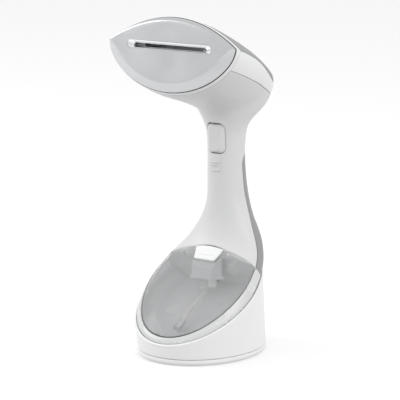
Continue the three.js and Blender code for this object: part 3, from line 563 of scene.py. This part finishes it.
# The windows of the trigger and the lock slider are rectangles with round corners, seen from the front.
HANDLE_MIDDLE_Y = 45.0  # skin ahead of this is the handle's front
TRIGGER_ROOM = 0.5
TRIGGER_WINDOW_CORNER = 5.5
SLIDER_CORNER = 2.2
TRIGGER_LOW, TRIGGER_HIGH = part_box("trigger")[0] / MM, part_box("trigger")[1] / MM
TRIGGER_MIDDLE = (0, (TRIGGER_LOW.z + TRIGGER_HIGH.z) / 2)
TRIGGER_HALF = ((TRIGGER_HIGH.x - TRIGGER_LOW.x) / 2, (TRIGGER_HIGH.z - TRIGGER_LOW.z) / 2)
SLIDER_LOW, SLIDER_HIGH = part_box("lock_slider")[0] / MM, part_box("lock_slider")[1] / MM
SLIDER_MIDDLE = (0, (SLIDER_LOW.z + SLIDER_HIGH.z) / 2)
SLIDER_HALF = ((SLIDER_HIGH.x - SLIDER_LOW.x) / 2, (SLIDER_HIGH.z - SLIDER_LOW.z) / 2)


def outside_trigger_window(points):
    """The distance outside the trigger's window, on the front of the object."""
    half_width, half_height = TRIGGER_HALF[0] + TRIGGER_ROOM, TRIGGER_HALF[1] + TRIGGER_ROOM
    inside = rounded_rectangle(points, TRIGGER_MIDDLE, half_width, half_height, TRIGGER_WINDOW_CORNER)
    return np.where(points[:, 1] < HANDLE_MIDDLE_Y, -inside, FAR)


def inside_slider(points):
    """The distance inside the lock slider's outline, on the front of the object."""
    inside = rounded_rectangle(points, SLIDER_MIDDLE, *SLIDER_HALF, SLIDER_CORNER)
    return np.where(points[:, 1] < HANDLE_MIDDLE_Y, inside, -FAR)


# The latch: a trapezium on the slope above the tank's window, narrow at its foot.
LATCH_FOOT = (9.0, 94.4)  # Y and Z of its lower edge
LATCH_SLOPE = (0.762, 0.647)  # the way up the slope, in Y and Z
LATCH_LOWER, LATCH_UPPER, LATCH_RUN = 12.3, 18.8, 22.0  # half widths, and the run between them
LATCH_REACH = (80, 125)  # heights between which skin can belong to the latch
LATCH_AHEAD = -20  # and the Y it lies behind
LATCH_GAP = 0.25  # extra gap between the latch and the window round it


def inside_latch(points):
    """The distance inside the latch's two sides and its foot."""
    up = (points[:, 1] - LATCH_FOOT[0]) * LATCH_SLOPE[0] + (points[:, 2] - LATCH_FOOT[1]) * LATCH_SLOPE[1]
    flare = (LATCH_UPPER - LATCH_LOWER) / LATCH_RUN
    side = (LATCH_LOWER + flare * up - np.abs(points[:, 0])) / math.hypot(1, flare)
    inside = np.minimum(side, up)
    level = (points[:, 2] > LATCH_REACH[0]) & (points[:, 2] < LATCH_REACH[1])
    return np.where(level & (points[:, 1] > LATCH_AHEAD), inside, -FAR)


def outside_latch(points):
    """The distance outside the latch's outline."""
    return -inside_latch(points) - LATCH_GAP


# ------------------------------------------------------------------ the casing
BACK_Y = 60.0  # skin behind this is the back of the casing
BEZEL_WALL, BEZEL_ROUND = 2.7, 0.9
SCREW_HOLE, SCREW_BORE, SCREW_WELL, BOSS_RADIUS = 3.6, 1.3, 3.5, 5.0  # radii
BOSS_SEAT = 1.7  # from the top of the screw's head down to the seat under it
BOSS_FLOOR = 3.4  # and down to the underside of the boss
BOSS_SUNK = 0.7  # from the skin to the top of the boss
GLAND_HOLE = 6.4  # radius
GLAND_HOLE_DROP = 0.6  # the cord leaves on a slant, so its hole is lower than the gland's middle


def outside_hole(x, z, radius):
    """A field for the outside of a round hole in the back of the casing."""

    def field(points):
        distance = np.hypot(points[:, 0] - x, points[:, 2] - z) - radius
        return np.where(points[:, 1] > BACK_Y, distance, FAR)

    return field


def screw_boss(x, z, head_top):
    """The tube behind the rear cover that a screw's head sits in."""
    behind = SKIN_DATA[SKIN_DATA[:, 1] > BACK_Y]
    nearest = np.hypot(behind[:, 0] - x, behind[:, 2] - z).argmin()
    top = behind[nearest, 1] - BOSS_SUNK
    floor, seat = head_top - BOSS_FLOOR, head_top - BOSS_SEAT
    profile = [
        (SCREW_BORE, floor), (BOSS_RADIUS, floor), (BOSS_RADIUS, top), (SCREW_WELL, top),
        (SCREW_WELL, seat), (SCREW_BORE, seat), (SCREW_BORE, floor),
    ]
    return turned(profile, (x, 0, z), (0, 1, 0), 40)


def node_middle(node):
    """The middle of a CAD node's box, in mm."""
    low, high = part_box(node)
    return (low + high) / 2 / MM


def make_casing():
    """The five pieces of the steamer's skin."""
    front_kept = [ahead_of_bezel_line, lambda p: behind_front(p) + SEAM_GAP / 2]
    bezel = shell(front_kept, wall=BEZEL_WALL, rounding=BEZEL_ROUND)
    build("bezel_ring", bezel, "steamer", ["plate_bezel"], WHITE)
    cover = shell([behind_bezel_line, below_crease, above_band])
    build("head_band", cover, "steamer", ["head_cover"], WHITE)
    insert = shell([behind_bezel_line, above_crease])
    build("head_top", insert, "steamer", ["top_insert"], REAR)
    body = shell([behind_bezel_line, below_band, ahead_of_rear, behind_tank, outside_trigger_window])
    build("handle_shell", body, "steamer", ["main_shell"], SHELL)
    holes, bosses = [], []
    for name in REAR_SCREWS:
        middle = node_middle(name)
        holes.append(outside_hole(middle.x, middle.z, SCREW_HOLE))
        bosses.append(screw_boss(middle.x, middle.z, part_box(name)[1].y / MM))
    gland = node_middle("cord_gland")
    holes.append(outside_hole(gland.x, gland.z - GLAND_HOLE_DROP, GLAND_HOLE))
    cover = shell([behind_rear, behind_tank, *holes])
    build("rear_shell", joined(cover, *bosses), "steamer", ["rear_cover"], REAR)


# ------------------------------------------------------------------ the steam plate
# The head's front edge is flat: IN_PLANE runs up it and INWARD into the head. TIPS is the middle of
# the line between the plate's two side tips, where the crease meets the plate.
IN_PLANE = np.array([0, HEAD_FRONT[2] - HEAD_FRONT[0], HEAD_FRONT[3] - HEAD_FRONT[1]])
IN_PLANE /= np.linalg.norm(IN_PLANE)
INWARD = np.array([0, IN_PLANE[2], -IN_PLANE[1]])
TIPS = np.array([0, *CREASE[1]])
PLATE_POINTS = 240  # points round a ring of the plate
TIP_ROUND = 0.8  # how much the side tips are cut back
TIP_NARROW = 40  # the higher, the less of the outline that cut takes in
BOTTOM_BEVEL = 0.5  # how wide the lower slope is at the bottom, against its sides
LOWER_ARC = 0.45  # sine of the angle over which the upper slope blends into the lower one


def plate_point(x, up, depth):
    """A point of the plate's own frame: across, up from the line between the tips, and inwards."""
    return TIPS + np.array([x, 0, 0]) + up * IN_PLANE + depth * INWARD


def plate_ring(depth, low, top):
    """The plate's outline at a depth, pulled in by low along its lower arc and by top elsewhere."""
    angles = 2 * math.pi * np.arange(PLATE_POINTS) / PLATE_POINTS
    below = np.clip(-np.sin(angles) / LOWER_ARC, 0, 1)
    blend = below * below * (3 - 2 * below)
    section = inset_section(moved_section(HEAD_FRONT, depth), top + BOTTOM_BEVEL * (low - top), top)
    ring = section_points(section, angles)
    ring[:, 0] -= BOTTOM_BEVEL * (top - low) * np.cos(angles)
    ring[:, 0] -= (low - top) * blend * np.cos(angles)
    tip = np.abs(np.cos(angles)) ** TIP_NARROW
    ring[:, 0] -= TIP_ROUND * tip * np.sign(np.cos(angles))
    return ring


def slot_ring(half_length, radius, depth, drop=0.0):
    """Points evenly spaced round the steam slot at a depth, with round ends."""
    outline = rounded_outline(half_length, radius, radius, 24)
    start = np.argmin(np.abs(outline[:, 1]) - outline[:, 0])
    outline = np.roll(outline, -start, axis=0)
    outline = np.vstack([outline, outline[:1]])
    travel = np.concatenate([[0], np.cumsum(np.hypot(*np.diff(outline, axis=0).T))])
    place = np.linspace(0, travel[-1], PLATE_POINTS, endpoint=False)
    across, up = np.interp(place, travel, outline[:, 0]), np.interp(place, travel, outline[:, 1])
    return np.array([plate_point(x, SLOT_UP + y - drop, depth) for x, y in zip(across, up)])


def make_plate():
    """The plate, the liner of its slot and the seal behind it."""
    proud = PLATE_PROUD
    border = [  # depth, then how far in the outline is at the bottom and at the top
        (2.4, 3.6, 3.6), (-0.6, 3.6, 3.6), (-0.6, 1.9, 1.9), (-0.7, 1.6, 1.6), (-1.0, 1.4, 1.4),
        (-1.4, 1.35, 1.3), (-1.8, 1.5, 1.35), (-2.1, 2.0, 1.5), (-2.6, 3.4, 1.75), (-3.4, 5.8, 2.2),
        (-4.2, 8.4, 2.8), (-4.9, 10.8, 3.4), (-5.35, 12.4, 3.9), (-5.7, 13.8, 4.5), (-5.92, 15.2, 5.2),
        (-proud, 16.6, 6.2), (-proud, 20, 9),
    ]
    rings = [plate_ring(*place) for place in border]
    rings += [slot_ring(*RECESS, -proud), slot_ring(*RECESS, 2.4)]
    build("sole_plate", ring_loft(rings), "steamer", ["steam_plate"], PLATE)
    length, radius = RECESS
    floor = RECESS_DEPTH - proud
    funnel = [
        slot_ring(length - 0.12, radius - 0.12, 2.6),
        slot_ring(length - 0.12, radius - 0.12, -proud + 0.25),
        slot_ring(length - 0.2, radius - 0.2, -proud + 0.06),
        slot_ring(length - 0.5, radius - 0.5, -proud),
        slot_ring(length - 0.8, radius - 0.7, -proud + 0.12),
        slot_ring(SLOT[0] + 1.4, SLOT[1] + 0.5, floor - 0.5, SLOT_DROP - 0.2),
        slot_ring(SLOT[0] + 0.5, SLOT[1] + 0.1, floor - 0.1, SLOT_DROP),
        slot_ring(*SLOT, floor + 0.1, SLOT_DROP),
        slot_ring(*SLOT, floor + 0.5, SLOT_DROP),
        slot_ring(SLOT[0] + 2, SLOT[1] + 0.9, floor + 1.4, SLOT_DROP - 0.4),
        slot_ring(SLOT[0] + 2, SLOT[1] + 0.9, 2.6, SLOT_DROP - 0.4),
    ]
    build("slot_funnel", ring_loft(funnel), "steamer", ["slot_liner"], CHROME)
    lip = [
        plate_ring(0.12, 0.75, 0.75), plate_ring(-0.3, 0.75, 0.75), plate_ring(-0.45, 1.0, 1.0),
        plate_ring(-0.45, 3.2, 3.2), plate_ring(2.2, 3.3, 3.3), plate_ring(2.2, 7.5, 5.5),
        plate_ring(4.4, 7.5, 5.5), plate_ring(4.4, 3.1, 3.1), plate_ring(0.12, 3.1, 3.1),
    ]
    build("plate_seal", ring_loft(lip), "steamer", ["plate_gasket"], RUBBER)


# ------------------------------------------------------------------ trigger and lock slider
SLIDER_PROUD = 1.1
SLIDER_RIDGES = (190.9, 193.9)  # heights of the two ridges on the slider
TRIGGER_TAPER = 0.09  # how fast the key narrows towards its lower end


def make_controls():
    """The trigger's key and the lock slider's cap."""
    middle_z = TRIGGER_MIDDLE[1]
    half_width, half_height = TRIGGER_HALF
    front = TRIGGER_LOW.y
    profile = [  # Y, inset at the sides, inset above and below, corner radius, lean of the lower end
        (38, 1.2, 1.2, 4.6, 0), (37.6, 0.3, 0.3, 5.2, 0), (36, 0, 0, 5.2, 0), (31.6, 0, 0, 5.2, 0),
        (31.0, 0.12, 0.12, 5.1, 0), (30.6, 0.5, 0.4, 5.0, 0.1), (29.4, 1.5, 0.9, 4.8, 0.6),
        (28.2, 2.5, 1.5, 4.6, 1.1), (27.75, 2.9, 1.8, 4.5, 1.35), (27.4, 3.4, 2.2, 4.4, 1.5),
        (front + 0.02, 4.4, 3.2, 3.8, 1.6), (front, 6.4, 5.6, 2.4, 1.6),
    ]
    rings = []
    for y, inset_x, inset_z, radius, lean in profile:
        outline = rounded_outline(half_width - inset_x, half_height - inset_z, radius)
        lower = (half_height - outline[:, 1]) / (2 * half_height)
        x = outline[:, 0] * (1 - TRIGGER_TAPER * lean * lower)
        z = middle_z + outline[:, 1] + 0.8 * lean * (lower > 0.5) * (lower - 0.5)
        rings.append(np.stack([x, np.full(len(x), y), z], axis=1))
    build("trigger_key", loft(rings), "trigger", ["trigger"], SHELL, smooth=50)
    cap = shell([inside_slider], lift=SLIDER_PROUD, wall=0.8, gap=0)
    ridges = [ridge((-4.4, 27.9, z), (4.4, 27.9, z), 0.75) for z in SLIDER_RIDGES]
    build("slider_cap", joined(cap, *ridges), "lock_slider", ["lock_slider"], SHELL)


def ridge(start, end, radius, sides=10):
    """A raised bar with rounded ends."""
    start, end = np.array(start, float), np.array(end, float)
    along = (end - start) / np.linalg.norm(end - start)
    across = np.cross(along, (0, 0, 1.0))
    across /= np.linalg.norm(across)
    up = np.cross(across, along)
    places = [(start, s) for s in (0.35, 0.75, 1.0)] + [(end, s) for s in (1.0, 0.75, 0.35)]
    offsets = [-0.95, -0.6, 0, 0, 0.6, 0.95]
    rings = []
    for (middle, share), offset in zip(places, offsets):
        angle = 2 * math.pi * np.arange(sides) / sides
        spoke = np.outer(np.cos(angle), across) + np.outer(np.sin(angle), up)
        rings.append(middle + offset * radius * along + share * radius * spoke)
    return loft(rings)


# ------------------------------------------------------------------ the stand
def oval(z, inset):
    """The base oval of the stand at a height, pulled in by inset."""
    angles = 2 * math.pi * np.arange(COLUMNS) / COLUMNS
    x = (STAND_BASE[0] - inset) * np.cos(angles)
    y = STAND_BASE_SHIFT + (STAND_BASE[1] - inset) * np.sin(angles)
    return np.stack([x, y, np.full(COLUMNS, z)], axis=1)


def stand_ring(share, inset, slip=0.0):
    """A ring of the stand's wall, from the base oval to the tilted rim, moved up the wall by slip."""
    angles = 2 * math.pi * np.arange(COLUMNS) / COLUMNS
    rim = section_points(inset_section(rim_section(0, *STAND_RIM), inset), angles)
    base = oval(STAND_SEAM, inset)
    up = (rim - base) / np.linalg.norm(rim - base, axis=1, keepdims=True)
    return base + share * (rim - base) + slip * up


def make_stand():
    """The stand's wall, base, anti-slip pad and the tray that carries the foot."""
    wall = STAND_WALL
    shares = (0.15, 0.3, 0.45, 0.6, 0.75, 0.9)
    rings = [
        stand_ring(0, 0.9), stand_ring(0, 0.25, 0.15), stand_ring(0, 0, 0.7), stand_ring(0, 0, 1.4),
        *[stand_ring(share, 0) for share in shares],
        stand_ring(1, 0, -1.6), stand_ring(1, 0, -0.8), stand_ring(1, 0.15, -0.3), stand_ring(1, 0.5, 0),
        stand_ring(1, wall - 0.5, 0), stand_ring(1, wall - 0.1, -0.4), stand_ring(1, wall, -1.0),
        *[stand_ring(share, wall) for share in reversed(shares)],
        stand_ring(0, wall, 0.6), stand_ring(0, wall - 0.4, 0),
    ]
    build("stand_wall", ring_loft(rings), "stand", ["stand_shell"], STAND_WHITE)
    top = STAND_SEAM - 0.45  # the base stops just short of the wall
    base = [
        oval(2.2, 9.6), oval(1.0, 9.4), oval(0.95, 3.5), oval(1.15, 2.2), oval(1.7, 1.0), oval(2.6, 0.25),
        oval(3.6, 0), oval(top - 0.6, 0), oval(top - 0.15, 0.15), oval(top, 0.6), oval(top, 3.8),
        oval(top + 2.4, 3.9), oval(top + 2.4, 5.6), oval(top - 0.4, 5.8),
    ]
    build("stand_base", loft(base), "stand", ["stand_base_plate"], STAND_WHITE)
    pad = [oval(1.9, 10.2), oval(0.3, 10.1), oval(0.0, 10.6), oval(0.0, 14)]
    build("base_pad", loft(pad), "stand", ["anti_slip_pad"], RUBBER)
    build("foot_cup", stand_cup(), "stand", ["stand_tray"], STAND_WHITE)


def stand_cup():
    """The tray under the foot: the foot's skin, moved out, with a post at each screw."""
    first = round(TRAY_START / LAST * round(LAST / SKIN_STEP))
    data = SKIN_DATA[first * COLUMNS:]
    rows = SKIN_ROWS - first
    # A thin lip at the top, and full thickness from the tenth ring down.
    thickness = np.repeat(np.interp(np.arange(rows), (0, 9), (0.45, 2.0)), COLUMNS)[:, None]
    inner = data[:, :3] + TRAY_ROOM * data[:, 3:]
    outer = inner + thickness * data[:, 3:]
    bodies = [closed_shell(outer, inner, grid_faces(rows, COLUMNS))]
    for x, y in SCREW_SPOTS:
        foot_floor = RIM_HEIGHT - FOOT_DEPTH / math.cos(RIM_TILT) + y * math.tan(RIM_TILT)
        top = foot_floor - POST_BELOW_FOOT
        low = STAND_SEAM + 0.4
        profile = [(1.3, low), (4.1, low), (4.5, low + 0.5), (4.5, top), (1.3, top), (1.3, low)]
        bodies.append(turned(profile, (x, y, 0), (0, 0, 1), 32))
    return joined(*bodies)


# ------------------------------------------------------------------ the tank
# The tank's rear seam in the side view: its top, the point where the rear cover's edge meets it and
# its end, then the way down it and the way out of the tank.
SEAM_TOP, SEAM_BEND, SEAM_END = (np.array(place, float) for place in TANK_SEAM[2:5])
SEAM_DOWN = (SEAM_END - SEAM_BEND) / np.linalg.norm(SEAM_END - SEAM_BEND)
SEAM_OUT = np.array([-SEAM_DOWN[1], SEAM_DOWN[0]])
SEAM_WINDOW = 1.6  # how near to a station the skin's half width is looked up
SEAM_TOP_ROOM = 1.3  # the wall's top is cut back this many times as far as its sides
REAR_WALL = (1.8, 1.9)  # thickness of the tank's rear wall, and its distance inside the skin
BULKHEAD = (2.0, 2.3)  # the same for the wall behind the tank
LATCH_BACK = 20.6  # Y of the latch's upper edge
LATCH_PROUD = 1.2
GRIP_UP, GRIP_OUT = 6.2, 1.35  # the ridge on the latch, up its slope and out of it

TOWER_FRONT, TOWER_BACK = 5.0, 18.6  # Y of the latch tower's faces
TOWER_HALF_WIDTH, TOWER_FLARE = 12.6, 0.37  # at its front, and how that grows with Y
TOWER_CORNER = 1.8
TOWER_FLOOR = 76.0
TOWER_ROOF = 4.9  # front edge of the tower's opening, behind its front face
TOWER_RISE = 0.849  # height gained for each mm back, along the latch's slope
TOWER_BELOW = 4.1  # from the latch's slope down to the tower's top edge


def seam_reach(level):
    """Where a surface at a distance off the tank's seam meets the skin: places down it, half widths."""
    value = behind_tank(SKIN_DATA[:, :3]).reshape(SKIN_ROWS, COLUMNS) - level
    points = SKIN_DATA[:, :3].reshape(SKIN_ROWS, COLUMNS, 3)
    found = []
    for down, around in ((1, 0), (0, 1)):
        other = np.roll(value, (-down, -around), axis=(0, 1))
        end = np.roll(points, (-down, -around), axis=(0, 1))
        rows, columns = np.nonzero(value * other < 0)
        keep = rows + down < SKIN_ROWS
        rows, columns = rows[keep], columns[keep]
        share = value[rows, columns] / (value[rows, columns] - other[rows, columns])
        found.append(points[rows, columns] + share[:, None] * (end - points)[rows, columns])
    found = np.vstack(found)
    below = SEAM_BEND[1] - found[:, 2]
    place = np.where(below < 0, below, below / -SEAM_DOWN[1])
    return place, np.abs(found[:, 0])


def seam_wall(offset, thickness, inset):
    """A wall along the tank's rear seam, inside the casing, the given distance off the seam."""
    stations, columns = 70, 24
    levels = (offset, offset + thickness)
    reaches = [seam_reach(level) for level in levels]
    first = max(place.min() for place, _ in reaches) + inset * SEAM_TOP_ROOM
    last = min(place.max() for place, _ in reaches) - inset
    sheets = [[], []]
    for at in np.linspace(first, last, stations):
        width = min(width[np.abs(place - at) < SEAM_WINDOW].max() for place, width in reaches) - inset
        if at > 0:
            spot, out = SEAM_BEND + at * SEAM_DOWN, SEAM_OUT
        else:
            slope = (SEAM_TOP[0] - SEAM_BEND[0]) / (SEAM_TOP[1] - SEAM_BEND[1])
            y = max(SEAM_TOP[0], SEAM_BEND[0] - slope * at)
            spot, out = np.array([y, SEAM_BEND[1] - at]), np.array([1.0, 0.0])
        for sheet, level in zip(sheets, levels):
            y, z = spot + level * out
            sheet.extend((x, y, z) for x in np.linspace(-width, width, columns))
    return closed_shell(np.array(sheets[1]), np.array(sheets[0]), grid_faces(stations, columns, False))


def tower_outline(grow):
    """The latch tower's plan with round corners: narrow at the front, wide at the back."""
    front, back = TOWER_FRONT - grow, TOWER_BACK + grow
    half = [TOWER_HALF_WIDTH + grow + TOWER_FLARE * (y - TOWER_FRONT) for y in (front, back)]
    corners = np.array([(-half[0], front), (half[0], front), (half[1], back), (-half[1], back)])
    outline = []
    for i, corner in enumerate(corners):
        before, after = corners[i - 1] - corner, corners[(i + 1) % 4] - corner
        start = corner + TOWER_CORNER * before / np.linalg.norm(before)
        end = corner + TOWER_CORNER * after / np.linalg.norm(after)
        for f in np.linspace(0, 1, 6):
            outline.append((1 - f) ** 2 * start + 2 * f * (1 - f) * corner + f * f * end)
        side = np.array([end + f * (corners[(i + 1) % 4] - corner) for f in (0.3, 0.6)])
        outline.extend(side)
    return np.array(outline)


def tower_ring(grow, height, opening=0.0):
    """A ring of the tower: level at a height, or (height None) under the slope of the tank's window."""
    outline = tower_outline(grow)
    x, y = outline[:, 0], np.maximum(outline[:, 1], TOWER_FRONT - grow + opening)
    if height is None:
        return np.stack([x, y, LATCH_FOOT[1] + (y - LATCH_FOOT[0]) * TOWER_RISE - TOWER_BELOW], axis=1)
    return np.stack([x, y, np.full(len(x), float(height))], axis=1)


def latch_tower():
    """The tower under the latch, open at the top, with the outlet below its floor."""
    floor = TOWER_FLOOR
    under = np.array([0, 0, -1.3])
    rings = [
        tower_ring(0.9, floor - 1.6), tower_ring(1.4, floor - 1.2), tower_ring(1.4, floor + 0.2),
        tower_ring(1.1, floor + 0.6), tower_ring(0.2, floor + 0.75), tower_ring(0, floor + 1.1),
        tower_ring(0, None) + np.array([0, 0, -0.4]), tower_ring(-0.3, None),
        tower_ring(-1.5, None, TOWER_ROOF), tower_ring(-1.6, None, TOWER_ROOF) + under,
        tower_ring(-1.8, None) + under, tower_ring(-1.8, floor + 1.5),
    ]
    nozzle = [(0, 66.6), (3.9, 66.6), (4.5, 67.2), (4.6, 68), (4.6, 75), (0, 75)]
    return joined(loft(rings), turned(nozzle, (9, 12, 0), (0, 0, 1), 40))


def make_tank():
    """The tank's pieces, the wall behind it and the latch."""
    window = shell([ahead_of_tank, above_face, outside_latch])
    build("tank_front_window", window, "tank", ["tank_window"], SMOKE)
    bowl = shell([ahead_of_tank, below_face])
    rear_wall = seam_wall(-SEAM_GAP / 2 - REAR_WALL[0], *REAR_WALL)
    build("tank_lower_bowl", joined(bowl, rear_wall), "tank", ["tank_bowl"], FROSTED)
    seal = shell([lambda p: 0.6 - np.abs(above_face(p)), ahead_of_tank], lift=-1.1, wall=0.9, rounding=0.2)
    build("tank_face_seal", seal, "tank", ["tank_seal"], RUBBER)
    build("tank_latch_tower", latch_tower(), "tank", ["latch_tower"], FROSTED, smooth=30)
    bulkhead = seam_wall(SEAM_GAP / 2, *BULKHEAD)
    build("foot_wall", bulkhead, "steamer", ["foot_bulkhead"], SHELL)
    latch_fields = [inside_latch, lambda p: LATCH_BACK - p[:, 1]]
    latch = shell(latch_fields, lift=LATCH_PROUD, wall=3.2, rounding=1.1, gap=0)
    y = LATCH_FOOT[0] + GRIP_UP * LATCH_SLOPE[0] - GRIP_OUT * LATCH_SLOPE[1]
    z = LATCH_FOOT[1] + GRIP_UP * LATCH_SLOPE[1] + GRIP_OUT * LATCH_SLOPE[0]
    grip = ridge((-8.2, y, z), (8.2, y, z), 0.8)
    build("latch_tab", joined(latch, grip), "latch", ["tank_latch"], WHITE)


# ------------------------------------------------------------------ screws and the cord's entry
GLAND_AXIS = (0, 0.92, -0.392)
GLAND_AT = (77.4, 112.5)  # Y and Z where the gland's axis leaves the casing
GLAND_INSIDE = 5.2  # how much of the gland is inside it


def make_fittings():
    """The three screws of the rear cover and the cord's gland."""
    for name in REAR_SCREWS:
        low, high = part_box(name)[0] / MM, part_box(name)[1] / MM
        length = high.y - low.y
        head = length - 1.6
        profile = [
            (0, 0), (0.6, 0.1), (1.0, 0.9), (1.0, head), (3.0, head), (3.2, head + 0.2),
            (3.2, head + 0.9), (2.7, head + 1.4),
            (1.7, length), (1.5, length - 0.1), (1.3, length - 0.9), (0, length - 0.9),
        ]
        origin = ((low.x + high.x) / 2, low.y, (low.z + high.z) / 2)
        build(name + "_turned", turned(profile, origin, (0, 1, 0), 40), "steamer", [name], STEEL)
    profile = [
        (3.6, 0), (8.8, 0), (9, 0.3), (9, 1.1), (8.8, 1.4), (6.6, 1.4), (6.2, 1.8), (6.2, 5.8),
        (6.6, 6.2), (7.7, 6.2), (8, 6.5), (8, 7.3), (7.6, 7.8), (5.4, 8.6), (4.6, 8.8), (3.9, 8.7),
        (3.6, 8.3), (3.6, 0),
    ]
    start_y = GLAND_AT[0] - GLAND_INSIDE * GLAND_AXIS[1]
    start_z = GLAND_AT[1] - GLAND_INSIDE * GLAND_AXIS[2]
    gland = turned(profile, (0, start_y, start_z), GLAND_AXIS, 56)
    build("cord_entry", gland, "steamer", ["cord_gland"], RUBBER)


# ------------------------------------------------------------------ stage, light and camera, in metres
FLOOR_REACH = 12.0
FLOOR_GLOW = 0.12  # lifts the paper towards white
WORLD_BELOW, WORLD_ABOVE = 0.64, 0.94  # brightness of the studio below and above
LIGHT_TARGET = (0, 0, 0.2)
CAMERA_TARGET = (0, 0, 0.175)
CAMERA_AZIMUTH, CAMERA_ELEVATION = math.radians(35), math.radians(10.5)
CAMERA_DISTANCE = 2.3
CAMERA_LENS = 202.9  # mm, on a 36 mm sensor
CAMERA_SHIFT = (0.0035, -0.0396)


def make_stage():
    """The white floor. It is kept out of the light on the object's underside."""
    floor = bpy.data.meshes.new("floor")
    r = FLOOR_REACH
    floor.from_pydata([(-r, -r, 0), (r, -r, 0), (r, r, 0), (-r, r, 0)], [], [(0, 1, 2, 3)])
    obj = bpy.data.objects.new("floor", floor)
    bpy.context.scene.collection.objects.link(obj)
    material, nodes, links, shader = new_material("floor_paper")
    shader.inputs["Roughness"].default_value = 0.9
    shader.inputs["Specular IOR Level"].default_value = 0.1
    slow = noise(nodes, links, 3.0)
    links.new(tinted(nodes, links, (0.88, 0.88, 0.88), 0.003, slow), shader.inputs["Base Color"])
    shader.inputs["Emission Color"].default_value = (1, 1, 1, 1)
    shader.inputs["Emission Strength"].default_value = FLOOR_GLOW
    floor.materials.append(material)
    obj.visible_diffuse = False


def softbox(name, place, size, power):
    """A rectangular light aimed at the object."""
    light = bpy.data.lights.new(name, "AREA")
    light.shape = "RECTANGLE"
    light.size, light.size_y = size
    light.energy = power
    obj = bpy.data.objects.new(name, light)
    bpy.context.scene.collection.objects.link(obj)
    obj.location = place
    obj.rotation_mode = "QUATERNION"
    obj.rotation_quaternion = (Vector(LIGHT_TARGET) - Vector(place)).to_track_quat("-Z", "Y")


def make_light():
    """A studio that is brighter above than below, with two softboxes."""
    world = bpy.data.worlds.new("studio")
    bpy.context.scene.world = world
    world.use_nodes = True
    nodes, links = world.node_tree.nodes, world.node_tree.links
    place = nodes.new("ShaderNodeTexCoord")
    parts = nodes.new("ShaderNodeSeparateXYZ")
    ramp = nodes.new("ShaderNodeMapRange")
    ramp.inputs["From Min"].default_value = -0.6
    ramp.inputs["From Max"].default_value = 0.8
    ramp.inputs["To Min"].default_value = WORLD_BELOW
    ramp.inputs["To Max"].default_value = WORLD_ABOVE
    links.new(place.outputs["Generated"], parts.inputs["Vector"])
    links.new(parts.outputs["Z"], ramp.inputs["Value"])
    links.new(ramp.outputs["Result"], nodes["Background"].inputs["Strength"])
    nodes["Background"].inputs["Color"].default_value = (1, 1, 1, 1)
    softbox("key", (-1.8, -0.9, 1.2), (1.2, 1.2), 15)
    softbox("side_fill", (1.6, -0.2, 1.2), (1.0, 1.4), 9)


def make_camera():
    """A long lens on the object's left, a little above it."""
    level = math.cos(CAMERA_ELEVATION)
    across, ahead = math.sin(CAMERA_AZIMUTH) * level, math.cos(CAMERA_AZIMUTH) * level
    back = Vector((across, -ahead, math.sin(CAMERA_ELEVATION)))
    data = bpy.data.cameras.new("camera")
    data.sensor_width = 36
    data.lens = CAMERA_LENS
    data.shift_x, data.shift_y = CAMERA_SHIFT
    camera = bpy.data.objects.new("camera", data)
    bpy.context.scene.collection.objects.link(camera)
    camera.location = Vector(CAMERA_TARGET) + CAMERA_DISTANCE * back
    camera.rotation_mode = "QUATERNION"
    camera.rotation_quaternion = (-back).to_track_quat("-Z", "Y")
    data.clip_start, data.clip_end = 0.05, 50
    bpy.context.scene.camera = camera
    bpy.context.scene.view_settings.view_transform = "Standard"


make_camera()
make_light()
make_stage()
carry_over_cad_finishes()
make_casing()
make_plate()
make_controls()
make_tank()
make_fittings()
make_stand()
